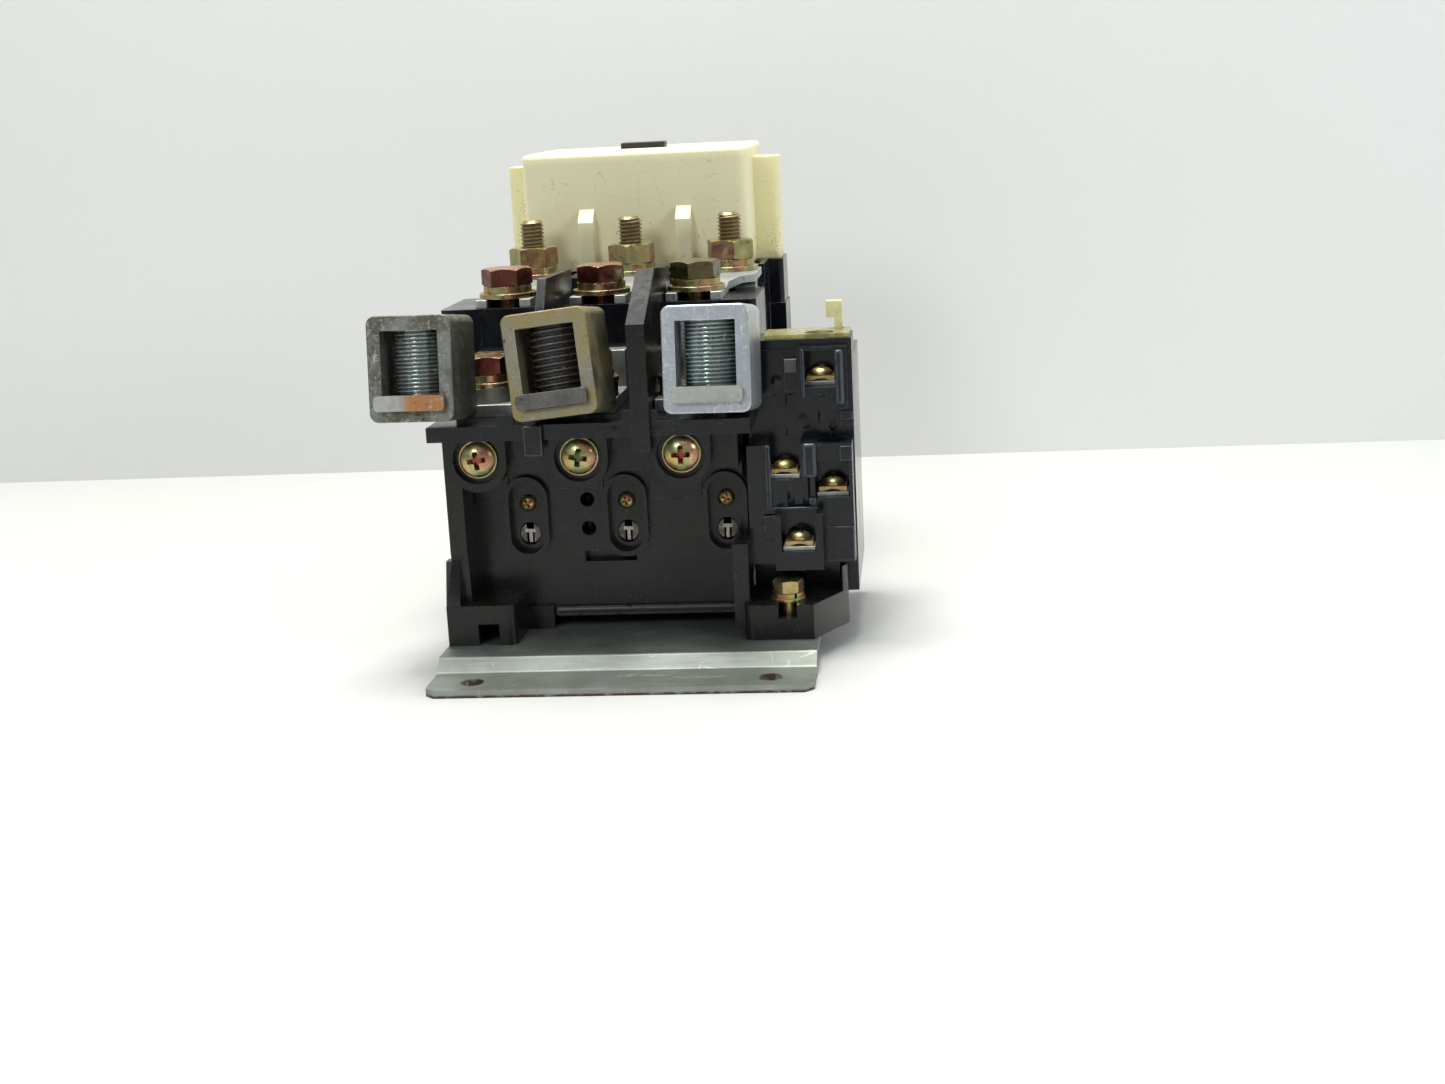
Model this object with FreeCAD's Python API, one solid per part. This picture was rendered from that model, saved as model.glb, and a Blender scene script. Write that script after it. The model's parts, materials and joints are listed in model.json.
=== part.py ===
"""Three-pole magnetic motor starter: contactor and thermal overload relay on one steel base plate.

Frame: origin at the centre of the base plate's mounting-hole pattern, on the plate's underside.
+X runs across the poles, +Y from the load terminals to the line terminals, +Z away from the plate.
In this file a depth is measured back from the plate's front (load-side) edge, in millimetres.
"""
import FreeCAD, Part
import math
import os
from FreeCAD import Placement, Rotation, Vector

# ---- base plate ----
PLATE_WIDTH = 110.0
PLATE_LENGTH = 260.0
PLATE_THICK = 2.3
FLANGE_DEPTH = 16.0
JOGGLE_RUN = 4.0
JOGGLE_RISE = 3.8
MOUNT_PITCH_X = 85.0
MOUNT_PITCH_Y = 245.0
MOUNT_HOLE_R = 3.25
DECK_Z = JOGGLE_RISE + PLATE_THICK

# ---- fasteners ----
M8_R = 4.0
M8_FLATS = 14.0
M8_HEAD = 5.5
M8_NUT = 6.5
M5_R = 2.5
FLAT_WASHER_R = 9.0
FLAT_WASHER_T = 1.6
SPRING_WASHER_R = 7.6
SPRING_WASHER_T = 2.1
FIT = 0.05

# ---- poles ----
SIDES = ("left", "middle", "right")
RELAY_X = -13.0
RELAY_PITCH = 30.0
RELAY_POLES = [RELAY_X + RELAY_PITCH * i for i in (-1, 0, 1)]
CONTACTOR_X = -8.9
CONTACTOR_PITCH = 33.2
CONTACTOR_POLES = [CONTACTOR_X + CONTACTOR_PITCH * i for i in (-1, 0, 1)]
CONTACT_PITCH = 28.5
CONTACT_POLES = [CONTACTOR_X + CONTACT_PITCH * i for i in (-1, 0, 1)]

# ---- overload relay ----
RELAY_LEFT = -53.0
RELAY_RIGHT = 33.0
FOOT_FRONT = 32.3
RELAY_FACE = 52.0
RELAY_BACK = 120.0
RELAY_WALL = 2.5
HOUSING_TOP = 67.0
LEDGE_FRONT = 34.0
LEDGE_TOP = 71.3
LIP_TOP = 74.6
OUTPUT_BAR_T = 3.7
OUTPUT_BOLT_DEPTH = 63.0
TIER_FRONT = 87.0
TIER_BASE = 86.8
TIER_TOP = 99.9
INPUT_BAR_T = 2.6
INPUT_BOLT_DEPTH = 96.7
POCKET_OFFSET = 10.7
PAN_SCREW_Z = 61.2
HEATER_SCREW_Z = 44.6
FOOT_BOLT_X = 46.2
FOOT_BOLT_DEPTH = 40.0
BARRIER_X = (-25.2, 6.3)
BARRIER_BLADE = 2.8
BARRIER_FLANGE = 5.3
LUG_NOTCHES = ((-58.0, -36.0), (-31.0, 1.0), (11.0, 38.0))
NOTCH_FLOOR = 71.4

# ---- box lugs ----
LUG_WIDTH = 24.8
LUG_HEIGHT = 30.2
LUG_DEPTH = 24.0
LUG_OPENING = 17.0
LUG_FLOOR = 3.2
LUG_ROOF = 4.2
LUG_FACE_REACH = 43.0
TONGUE_T = 4.4
LUG_NOSE_UP = 7.0
LUG_SPREAD = {"left": -12.0, "middle": 0.0, "right": 12.0}
LUG_SWIVEL = {"left": -3.0, "middle": -4.5, "right": -2.5}
LUG_ROLL = {"left": 0.0, "middle": -6.0, "right": 0.0}
LUG_SCREW_R = 8.2

# ---- auxiliary contact block ----
AUX_LEFT = 35.0
AUX_UPPER_LEFT = 37.5
AUX_RIGHT = 66.3
AUX_FRONT = 58.0
AUX_STEP = 76.0
AUX_BACK = 112.0
AUX_BOTTOM = 14.0
AUX_TOP = 90.4
AUX_REAR_TOP = 83.0
AUX_WALL = 2.0
AUX_CEILING = 80.0
AUX_TERMINALS = [(56.8, 64.5, 76.4), (45.5, 54.0, 50.6), (59.8, 54.0, 45.0), (49.9, 44.0, 31.0)]
AUX_WASHER = 8.2
WINDOW_T = 1.2
DIAL_X = 45.2
DIAL_DEPTH = 67.5
DIAL_R = 4.6
DIAL_STEM_R = 1.8
DIAL_FLOOR = 84.0
DIAL_STEM_BOTTOM = 77.5
FLAG_X = 62.2
FLAG_DEPTH = 73.0
FLAG_ROOM_FLOOR = 62.0
FLAG_ROOM_TOP = 74.5
LEVER_X = 44.4
LEVER_Z = 40.0
LEVER_DEPTH = 92.0
LEVER_PIN_R = 1.5
TRIP_CONTACT_Z = 59.0

# ---- contactor ----
BASE_LEFT = -61.5
BASE_RIGHT = 43.7
BASE_FRONT = 128.0
BASE_BACK = 239.0
BASE_TOP = 89.4
FRAME_TOP = 104.8
FRAME_INSET = 0.6
END_HALF = 42.9
MIDDLE_HALF = 48.2
MIDDLE_REACH = 10.5
FOOT_TOP = 12.1
COIL_TERMINAL_X = BASE_LEFT + 5.5
COIL_TERMINAL_DEPTHS = (168.0, 199.0)
STUD_DEPTH = 138.4
SCREW_SPREAD = 42.0
SCREW_INSET = 7.0
CENTRE_DEPTH = (BASE_FRONT + BASE_BACK) / 2
TERMINAL_T = 3.5
TERMINAL_BOTTOM = 98.4
TERMINAL_TOP = TERMINAL_BOTTOM + TERMINAL_T
STUD_TOP = 123.6
STUD_RELIEF = 0.4
STUD_RELIEF_R = 0.4
TRAVEL = 5.0
COVER_FRONT = 152.4
COVER_LEFT = -47.3
COVER_RIGHT = 29.9
COVER_TOP = 144.6
COVER_WALL = 2.2
WING_LEFT = -56.4
WING_RIGHT = 38.6
WING_HALF = 7.8
WING_TOP = 140.0
CONTACT_TIP_R = 3.0
CORE_HALF_X = 27.0
CORE_HALF_Y = 12.0
LEG_TOP = 56.0
MAGNET_GAP = TRAVEL + 0.2

PARTS = "parts"
X_AXIS = Vector(1, 0, 0)
Y_AXIS = Vector(0, 1, 0)
Z_AXIS = Vector(0, 0, 1)


def y_at(depth):
    """Row-frame Y of a depth measured back from the plate's front edge."""
    return depth - PLATE_LENGTH / 2


def block(x0, x1, depth0, depth1, z0, z1):
    return Part.makeBox(x1 - x0, depth1 - depth0, z1 - z0, Vector(x0, y_at(depth0), z0))


def post(x, depth, z0, z1, radius):
    """Upright round bar."""
    return Part.makeCylinder(radius, z1 - z0, Vector(x, y_at(depth), z0), Z_AXIS)


def spigot(x, z, depth0, depth1, radius):
    """Round bar lying along Y."""
    return Part.makeCylinder(radius, depth1 - depth0, Vector(x, y_at(depth0), z), Y_AXIS)


def ring(x, depth, z0, z1, outer, inner):
    return post(x, depth, z0, z1, outer).cut(post(x, depth, z0, z1, inner))


def hexagon(x, depth, z0, z1, flats, turn=0.0):
    """Upright hexagonal prism with its corners chamfered round at both ends."""
    corner = flats / 2 / math.cos(math.pi / 6)
    points = []
    for i in range(7):
        angle = math.radians(60 * i + turn)
        points.append(Vector(x + corner * math.cos(angle), y_at(depth) + corner * math.sin(angle), z0))
    prism = Part.Face(Part.makePolygon(points)).extrude(Vector(0, 0, z1 - z0))
    rim = corner - flats / 2
    lower = Part.makeCone(flats / 2, corner, rim * 0.5, Vector(x, y_at(depth), z0), Z_AXIS)
    middle = post(x, depth, z0 + rim * 0.5, z1 - rim * 0.5, corner + 1)
    upper = Part.makeCone(corner, flats / 2, rim * 0.5, Vector(x, y_at(depth), z1 - rim * 0.5), Z_AXIS)
    return prism.common(lower.fuse([middle, upper]))


def stadium(x, z0, z1, depth0, depth1, radius):
    """Upright slot shape, round at both ends, running along Y."""
    low = z0 + radius
    high = z1 - radius
    ends = [spigot(x, low, depth0, depth1, radius), spigot(x, high, depth0, depth1, radius)]
    return block(x - radius, x + radius, depth0, depth1, low, high).fuse(ends)


def prism_x(points, x0, x1):
    """Closed outline of (depth, z) points, extruded across X."""
    outline = [Vector(x0, y_at(depth), z) for depth, z in points]
    return Part.Face(Part.makePolygon(outline + outline[:1])).extrude(Vector(x1 - x0, 0, 0))


def prism_z(points, z0, z1):
    """Closed outline of (x, depth) points, extruded upwards."""
    outline = [Vector(x, y_at(depth), z0) for x, depth in points]
    return Part.Face(Part.makePolygon(outline + outline[:1])).extrude(Vector(0, 0, z1 - z0))


def edges_along(shape, direction, test=lambda middle: True):
    """Straight edges of a shape that run along a direction and pass a test on their middle."""
    found = []
    for edge in shape.Edges:
        if len(edge.Vertexes) != 2:
            continue
        run = edge.Vertexes[1].Point - edge.Vertexes[0].Point
        if run.Length > 1e-6 and abs(run.normalize().dot(direction)) > 0.999:
            if test(edge.CenterOfMass):
                found.append(edge)
    return found


def fuse(shapes):
    return shapes[0].fuse(shapes[1:]).removeSplitter()


def keep(name, shapes):
    """Write one node: a single piece, or a group of identical pieces."""
    solids = [solid for shape in shapes for solid in shape.Solids]
    for solid in solids:
        if not solid.isValid() or solid.Volume <= 0:
            raise RuntimeError("bad solid in " + name)
    node = solids[0] if len(solids) == 1 else Part.makeCompound(solids)
    node.exportStep(os.path.join(PARTS, name + ".step"))
    print(name, len(solids), "solid(s)", round(node.Volume, 1), "mm3")


# ---------------------------------------------------------------- base plate

def plate_screw_spots():
    """Where the contactor's four screws enter the plate."""
    return [(x, depth) for x in (CONTACTOR_X - SCREW_SPREAD, CONTACTOR_X + SCREW_SPREAD)
            for depth in (BASE_FRONT + SCREW_INSET, BASE_BACK - SCREW_INSET)]


def make_base_plate():
    back = PLATE_LENGTH
    run = FLANGE_DEPTH + JOGGLE_RUN
    outline = [(0, 0), (FLANGE_DEPTH, 0), (run, JOGGLE_RISE), (back - run, JOGGLE_RISE),
               (back - FLANGE_DEPTH, 0), (back, 0), (back, PLATE_THICK),
               (back - FLANGE_DEPTH - 0.6, PLATE_THICK), (back - run - 0.6, DECK_Z),
               (run + 0.6, DECK_Z), (FLANGE_DEPTH + 0.6, PLATE_THICK), (0, PLATE_THICK)]
    plate = prism_x(outline, -PLATE_WIDTH / 2, PLATE_WIDTH / 2)
    bends = edges_along(plate, X_AXIS, lambda m: abs(m.y) < back / 2 - 5)
    plate = plate.makeFillet(1.5, bends)
    corners = edges_along(plate, Z_AXIS, lambda m: abs(m.y) > back / 2 - 1)
    plate = plate.makeChamfer(2.6, corners)
    holes = [post(x, PLATE_LENGTH / 2 + y, -1, PLATE_THICK + 1, MOUNT_HOLE_R)
             for x in (-MOUNT_PITCH_X / 2, MOUNT_PITCH_X / 2)
             for y in (-MOUNT_PITCH_Y / 2, MOUNT_PITCH_Y / 2)]
    holes += [post(x, depth, 0, DECK_Z + 1, M5_R + FIT) for x, depth in plate_screw_spots()]
    holes.append(post(FOOT_BOLT_X, FOOT_BOLT_DEPTH, 0, DECK_Z + 1, M5_R + FIT))
    keep("base_plate", [plate.cut(holes)])


# ---------------------------------------------------------------- overload relay

def make_relay_housing():
    left = RELAY_LEFT
    right = RELAY_RIGHT
    body = block(left, right, RELAY_FACE, RELAY_BACK - RELAY_WALL, 9.5, HOUSING_TOP)
    # the cheeks and the brow stand forward of the main face
    cheek = prism_x([(36, 56), (36, HOUSING_TOP), (RELAY_FACE, HOUSING_TOP), (RELAY_FACE, DECK_Z),
                     (38, DECK_Z), (37.4, 24), (36, 34)], left, left + 5)
    brow = block(left, right, 41, RELAY_FACE, 56, HOUSING_TOP)
    inner_rib = block(30.5, right + 2, 36, RELAY_FACE, 9.5, 34)
    bosses = []
    for x in RELAY_POLES:
        bosses.append(spigot(x, PAN_SCREW_Z - 1, 36, RELAY_FACE, 8.6))
        bosses.append(block(x - 8.6, x + 8.6, 36, RELAY_FACE, PAN_SCREW_Z, HOUSING_TOP))
        bosses.append(stadium(x + POCKET_OFFSET, 28.2, 53.2, 49.5, RELAY_FACE + 1, 6.6))
    # left foot, with the hook slot under it
    foot = block(-54.7, -34, FOOT_FRONT, 55, DECK_Z, 18.2)
    foot = foot.makeFillet(3.0, edges_along(foot, Z_AXIS, lambda m: m.x > -40 and m.y < y_at(40)))
    toe = block(-40, -26, 50, 58, DECK_Z, 13.2)
    fin = prism_x([(FOOT_FRONT, 17), (36.5, 31), (40, 31), (40, 17)], -54.7, -50.5)
    # right foot: a shelf for the bolt, with a wing that runs back and outwards
    shelf = prism_z([(33.5, FOOT_FRONT), (53.8, FOOT_FRONT), (63.2, 50), (63.2, 57.5), (33.5, 57.5)],
                    DECK_Z, 16.4)
    shelf = shelf.makeFillet(2.5, edges_along(shelf, Z_AXIS, lambda m: m.x < 34 and m.y < y_at(40)))
    wing = prism_z([(61.0, 48.2), (61.8, 47.4), (63.2, 50), (63.2, 57.5), (61.0, 57.5)], DECK_Z, 24)
    housing = fuse([body, cheek, brow, inner_rib] + bosses + [foot, toe, fin, shelf, wing])
    cuts = [block(left + RELAY_WALL, right - RELAY_WALL, RELAY_FACE + 6, RELAY_BACK, 12.5,
                  HOUSING_TOP - RELAY_WALL)]
    for x in RELAY_POLES:
        cuts.append(spigot(x, PAN_SCREW_Z, 35, 38.5, 7.2))
        cuts.append(spigot(x, PAN_SCREW_Z, 38.5, 70, 3.0 + FIT))
        pocket = x + POCKET_OFFSET
        cuts.append(stadium(pocket, 29.6, 51.8, 49, RELAY_FACE + 1.5, 5.2))
        cuts.append(spigot(pocket, HEATER_SCREW_Z, 50, 66, 1.5 + FIT))
        cuts.append(stadium(pocket, 31.6, 38.6, 50, 62, 3.1))
    middle = RELAY_X - 1
    cuts += [spigot(middle, z, 50, 62, 2.2) for z in (45.4, 36.6)]
    cuts.append(block(-15.6, 0, 50, 56, 26.3, 29.5))
    cuts.append(block(-45.5, -39.2, FOOT_FRONT - 1, 48, DECK_Z - 1, 12.6))
    cuts.append(block(FOOT_BOLT_X - 2.7, FOOT_BOLT_X + 2.7, FOOT_FRONT - 1, FOOT_BOLT_DEPTH, 12.4, 17))
    cuts.append(post(FOOT_BOLT_X, FOOT_BOLT_DEPTH, 5, 20, M5_R + 0.2))
    cuts.append(block(left - 1, right + 1, 30, RELAY_FACE + 1, HOUSING_TOP, HOUSING_TOP + 5))
    # way through for the trip slide
    cuts.append(block(right - 4, right + 3, 70, 99, 46, 60))
    housing = housing.cut(cuts)
    keep("relay_housing", [housing])


def make_relay_rear_cover():
    cover = block(RELAY_LEFT, RELAY_RIGHT, RELAY_BACK - RELAY_WALL + 0.02, RELAY_BACK, 9.5, HOUSING_TOP)
    rim = block(RELAY_LEFT + RELAY_WALL + 0.1, RELAY_RIGHT - RELAY_WALL - 0.1, RELAY_BACK - 5,
                RELAY_BACK - RELAY_WALL + 0.02, 12.6, HOUSING_TOP - RELAY_WALL - 0.1)
    hollow = block(RELAY_LEFT + 5, RELAY_RIGHT - 5, RELAY_BACK - 6, RELAY_BACK - RELAY_WALL + 0.02,
                   15.2, HOUSING_TOP - 5.2)
    # two arms carry the trip slide
    arms = [block(x - 2, x + 2, 84, RELAY_BACK - RELAY_WALL + 0.02, 49.4, 51.46) for x in (-28, 2)]
    keep("relay_rear_cover", [fuse([cover, rim]).cut(hollow).fuse(arms).removeSplitter()])


def make_terminal_block():
    base = HOUSING_TOP + 0.02
    deck = block(-57.0, 37.4, LEDGE_FRONT, 92, base, LEDGE_TOP)
    lip = block(-57.0, 37.4, LEDGE_FRONT, LEDGE_FRONT + 2.2, LEDGE_TOP, LIP_TOP)
    tower = block(-63.0, 36.4, TIER_FRONT, 122, base, TIER_TOP)
    tower = tower.makeFillet(1.6, edges_along(tower, Z_AXIS, lambda m: m.y < y_at(90)))
    shape = fuse([deck, lip, tower])
    cuts = [block(-64, -57.0, 86, 123, base - 1, TIER_BASE)]
    for x in RELAY_POLES:
        cuts.append(block(x - 12.6, x + 12.6, TIER_FRONT - 1, 95, LEDGE_TOP, TIER_BASE))
        cuts.append(block(x - 9.1, x + 9.1, 94, 99, LEDGE_TOP + OUTPUT_BAR_T + 7.9, TIER_BASE))
        cuts.append(post(x, INPUT_BOLT_DEPTH, 88, TIER_TOP + 1, M8_R + FIT))
        cuts.append(post(x, OUTPUT_BOLT_DEPTH, base - 1, LEDGE_TOP + 1, M8_R + FIT))
    for low, high in LUG_NOTCHES:
        cuts.append(block(low, high, LEDGE_FRONT - 1, LEDGE_FRONT + 3, NOTCH_FLOOR, LIP_TOP + 1))
    for x in BARRIER_X:
        half = BARRIER_BLADE / 2 + 0.1
        cuts.append(block(x - half, x + half, LEDGE_FRONT - 1, 105.2, LEDGE_TOP - 2.1, LIP_TOP + 1))
        cuts.append(block(x - half, x + half, TIER_FRONT - 1, 105.2, LEDGE_TOP - 2.1, TIER_TOP + 1))
    keep("terminal_block", [shape.cut(cuts)])


def make_phase_barriers():
    """The left barrier is cut away in front to clear the middle lug."""
    low = LEDGE_TOP - 2
    outlines = {
        "left": [(LEDGE_FRONT, low), (105, low), (105, 110), (62, 111), (50, 96), (50, NOTCH_FLOOR),
                 (LEDGE_FRONT, NOTCH_FLOOR)],
        "right": [(LEDGE_FRONT, low), (105, low), (105, 109.5), (60, 112.6), (LEDGE_FRONT, 100.4)]}
    flange_tops = {"left": NOTCH_FLOOR, "right": 99.6}
    for (side, outline), x in zip(outlines.items(), BARRIER_X):
        blade = prism_x(outline, x - BARRIER_BLADE / 2, x + BARRIER_BLADE / 2)
        flange = block(x - BARRIER_FLANGE / 2, x + BARRIER_FLANGE / 2, LEDGE_FRONT - 2.6,
                       LEDGE_FRONT - 0.05, 62.6, flange_tops[side])
        bridge = block(x - BARRIER_BLADE / 2, x + BARRIER_BLADE / 2, LEDGE_FRONT - 1, LEDGE_FRONT + 1,
                       low, NOTCH_FLOOR)
        pieces = [blade, flange, bridge]
        if side == "right":
            pieces.append(prism_x([(LEDGE_FRONT - 2.6, 99.4), (60, 112.8), (62, 111.2),
                                   (LEDGE_FRONT - 0.05, 97.4)],
                                  x - BARRIER_FLANGE / 2, x + BARRIER_FLANGE / 2))
        keep("phase_barrier_" + side, [fuse(pieces)])


def make_relay_bars():
    outputs = []
    inputs = []
    bar_top = LEDGE_TOP + OUTPUT_BAR_T
    riser = 79.0
    for pole, (x, stud_x) in enumerate(zip(RELAY_POLES, CONTACTOR_POLES)):
        flat = block(x - 9, x + 9, 51.4, riser + OUTPUT_BAR_T, LEDGE_TOP, bar_top)
        upright = block(x - 9, x + 9, riser, riser + OUTPUT_BAR_T, LEDGE_TOP, TIER_BASE - 0.2)
        tail = block(x - 9, x + 9, riser, 98.8, TIER_BASE - 0.2 - OUTPUT_BAR_T, TIER_BASE - 0.2)
        bar = fuse([flat, upright, tail])
        outputs.append(bar.cut(post(x, OUTPUT_BOLT_DEPTH, LEDGE_TOP - 1, bar_top + 1, M8_R + FIT)))
        # the input bar steps up and out to reach the contactor's stud
        top = TIER_TOP + INPUT_BAR_T
        rise = TERMINAL_TOP - TIER_TOP
        profile = [(88, TIER_TOP), (109, TIER_TOP), (117, TIER_TOP + rise), (146.5, TIER_TOP + rise),
                   (146.5, top + rise), (116.4, top + rise), (108.4, top), (88, top)]
        strip = prism_x(profile, x - 30, x + 30)
        plan = prism_z([(x - 8.8, 88), (x + 8.8, 88), (x + 8.8, 112), (stud_x + 9.4, 122),
                        (stud_x + 9.4, 146.5), (stud_x - 9.4, 146.5), (stud_x - 9.4, 122), (x - 8.8, 112)],
                       TIER_TOP - 1, top + rise + 1)
        notch = block(x - 5.2, x + 5.2, 87, INPUT_BOLT_DEPTH, TIER_TOP - 1, top + 1)
        notch_end = post(x, INPUT_BOLT_DEPTH, TIER_TOP - 1, top + 1, 5.2)
        hole = post(stud_x, STUD_DEPTH, TIER_TOP, top + rise + 1, M8_R + FIT)
        inputs.append(strip.common(plan).cut([notch, notch_end, hole]))
    keep("output_bars", outputs)
    keep("input_bars", inputs)


def hex_bolt(x, depth, seat, length, turn):
    """M8 hexagon bolt: the underside of its head at seat, its shank down from there."""
    head = hexagon(x, depth, seat, seat + M8_HEAD, M8_FLATS, turn)
    return head.fuse(post(x, depth, seat - length, seat, M8_R)).removeSplitter()


def washer_stack(x, depth, seat, turn):
    """A flat washer with a split spring washer on it, for M8."""
    flat = ring(x, depth, seat, seat + FLAT_WASHER_T, FLAT_WASHER_R, M8_R + 0.2)
    spring = split_washer(x, depth, seat + FLAT_WASHER_T, SPRING_WASHER_R, M8_R + 0.2, turn)
    return flat, spring


def make_power_fasteners():
    """Bolts of the relay's two terminal rows, studs and nuts of the contactor, and their washers."""
    stack = FLAT_WASHER_T + SPRING_WASHER_T
    input_seat = TIER_TOP + INPUT_BAR_T
    output_seat = LEDGE_TOP + OUTPUT_BAR_T + TONGUE_T
    flats = []
    springs = []
    for name, depth, seat, length in (("input", INPUT_BOLT_DEPTH, input_seat, 13.0),
                                      ("output", OUTPUT_BOLT_DEPTH, output_seat, 15.4)):
        bolts = []
        for x, turn in zip(RELAY_POLES, (4.0, 34.0, 20.0)):
            flat, spring = washer_stack(x, depth, seat, turn)
            flats.append(flat)
            springs.append(spring)
            bolts.append(hex_bolt(x, depth, seat + stack, length, turn))
        keep(name + "_bolts", bolts)
    studs = []
    nuts = []
    for (x, depth), turn in zip(stud_spots(), (8, 26, 44, 15, 37, 3)):
        seat = TERMINAL_TOP + (INPUT_BAR_T if depth < CENTRE_DEPTH else 0.0) + 0.02
        head = hexagon(x, depth, TERMINAL_BOTTOM - 4.4, TERMINAL_BOTTOM, 13.0)
        nut_z = seat + stack
        free_z = nut_z + M8_NUT + STUD_RELIEF
        shank = post(x, depth, TERMINAL_BOTTOM, free_z, M8_R - STUD_RELIEF_R)
        free_end = post(x, depth, free_z, STUD_TOP - 1, M8_R)
        point = Part.makeCone(M8_R, M8_R - 0.9, 1.0, Vector(x, y_at(depth), STUD_TOP - 1), Z_AXIS)
        studs.append(fuse([head, shank, free_end, point]))
        flat, spring = washer_stack(x, depth, seat, turn * 4)
        flats.append(flat)
        springs.append(spring)
        nuts.append(hexagon(x, depth, nut_z, nut_z + M8_NUT, M8_FLATS, turn).cut(
            post(x, depth, nut_z - 1, nut_z + M8_NUT + 1, M8_R + FIT)))
    keep("flat_washers", flats)
    keep("spring_washers", springs)
    keep("terminal_studs", studs)
    keep("stud_nuts", nuts)


def split_washer(x, depth, z, outer, inner, turn, thick=SPRING_WASHER_T):
    washer = ring(x, depth, z, z + thick, outer, inner)
    slit = block(x + inner - 1, x + outer + 1, depth - 0.4, depth + 0.4, z - 1, z + thick + 1)
    slit.rotate(Vector(x, y_at(depth), z), Z_AXIS, turn)
    return washer.cut(slit)


def front_screw(x, z, seat, head_r, head_h, shank_r, length):
    """Cross-recessed pan-head screw facing the load side, its head's underside at depth seat."""
    dome_r = (head_r ** 2 + head_h ** 2) / (2 * head_h)
    centre = Vector(x, y_at(seat - head_h + dome_r), z)
    dome = Part.makeSphere(dome_r, centre).common(spigot(x, z, seat - head_h, seat, head_r))
    screw = dome.fuse(spigot(x, z, seat, seat + length, shank_r))
    arm = head_r * 0.52
    slot = head_r * 0.11
    cross = [block(x - arm, x + arm, seat - head_h - 1, seat - head_h * 0.35, z - slot, z + slot),
             block(x - slot, x + slot, seat - head_h - 1, seat - head_h * 0.35, z - arm, z + arm)]
    return screw.cut(cross)


def make_relay_front_screws():
    seat = 38.5
    keep("front_screw_washers", [
        spigot(x, PAN_SCREW_Z, seat - 1.2, seat, 5.7).cut(spigot(x, PAN_SCREW_Z, seat - 2, seat + 1, 3.1))
        for x in RELAY_POLES])
    keep("front_pan_screws", [front_screw(x, PAN_SCREW_Z, seat - 1.2, 5.2, 3.0, 3.0, 13) for x in RELAY_POLES])
    keep("heater_screws", [front_screw(x + POCKET_OFFSET, HEATER_SCREW_Z, RELAY_FACE + 1.5, 2.6, 1.8, 1.5, 8)
                           for x in RELAY_POLES])


def make_relay_inside():
    heaters = []
    bimetals = []
    for x in RELAY_POLES:
        riser = block(x + 4.5, x + 6.0, 64, 76, 20, HOUSING_TOP - RELAY_WALL - 0.02)
        lower = block(x - 3.5, x + 6.0, 64, 66, 20, 22)
        heaters.append(fuse([riser, lower, block(x - 3.5, x - 2.0, 64, 76, 20, 44)]))
        bimetals.append(block(x - 0.6, x + 0.6, 80, 90, 12.52, 57))
    keep("heater_strips", heaters)
    keep("bimetal_strips", bimetals)
    # the slide has one window round each bimetal's tip and reaches into the contact block
    slide = block(-49, 42.6, 86.4, 97.0, 51.5, 54.5)
    windows = [block(x - 3.8, x + 1.2, 80, 90.5, 50, 56) for x in RELAY_POLES]
    keep("trip_slide", [slide.cut(windows)])


# ---------------------------------------------------------------- box lugs

def lug_frame(side):
    """Where a lug stands: seat of its bolt hole, and the turn, tilt and roll of its box."""
    x = RELAY_POLES[SIDES.index(side)]
    return Vector(x, y_at(OUTPUT_BOLT_DEPTH), LEDGE_TOP + OUTPUT_BAR_T)


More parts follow.
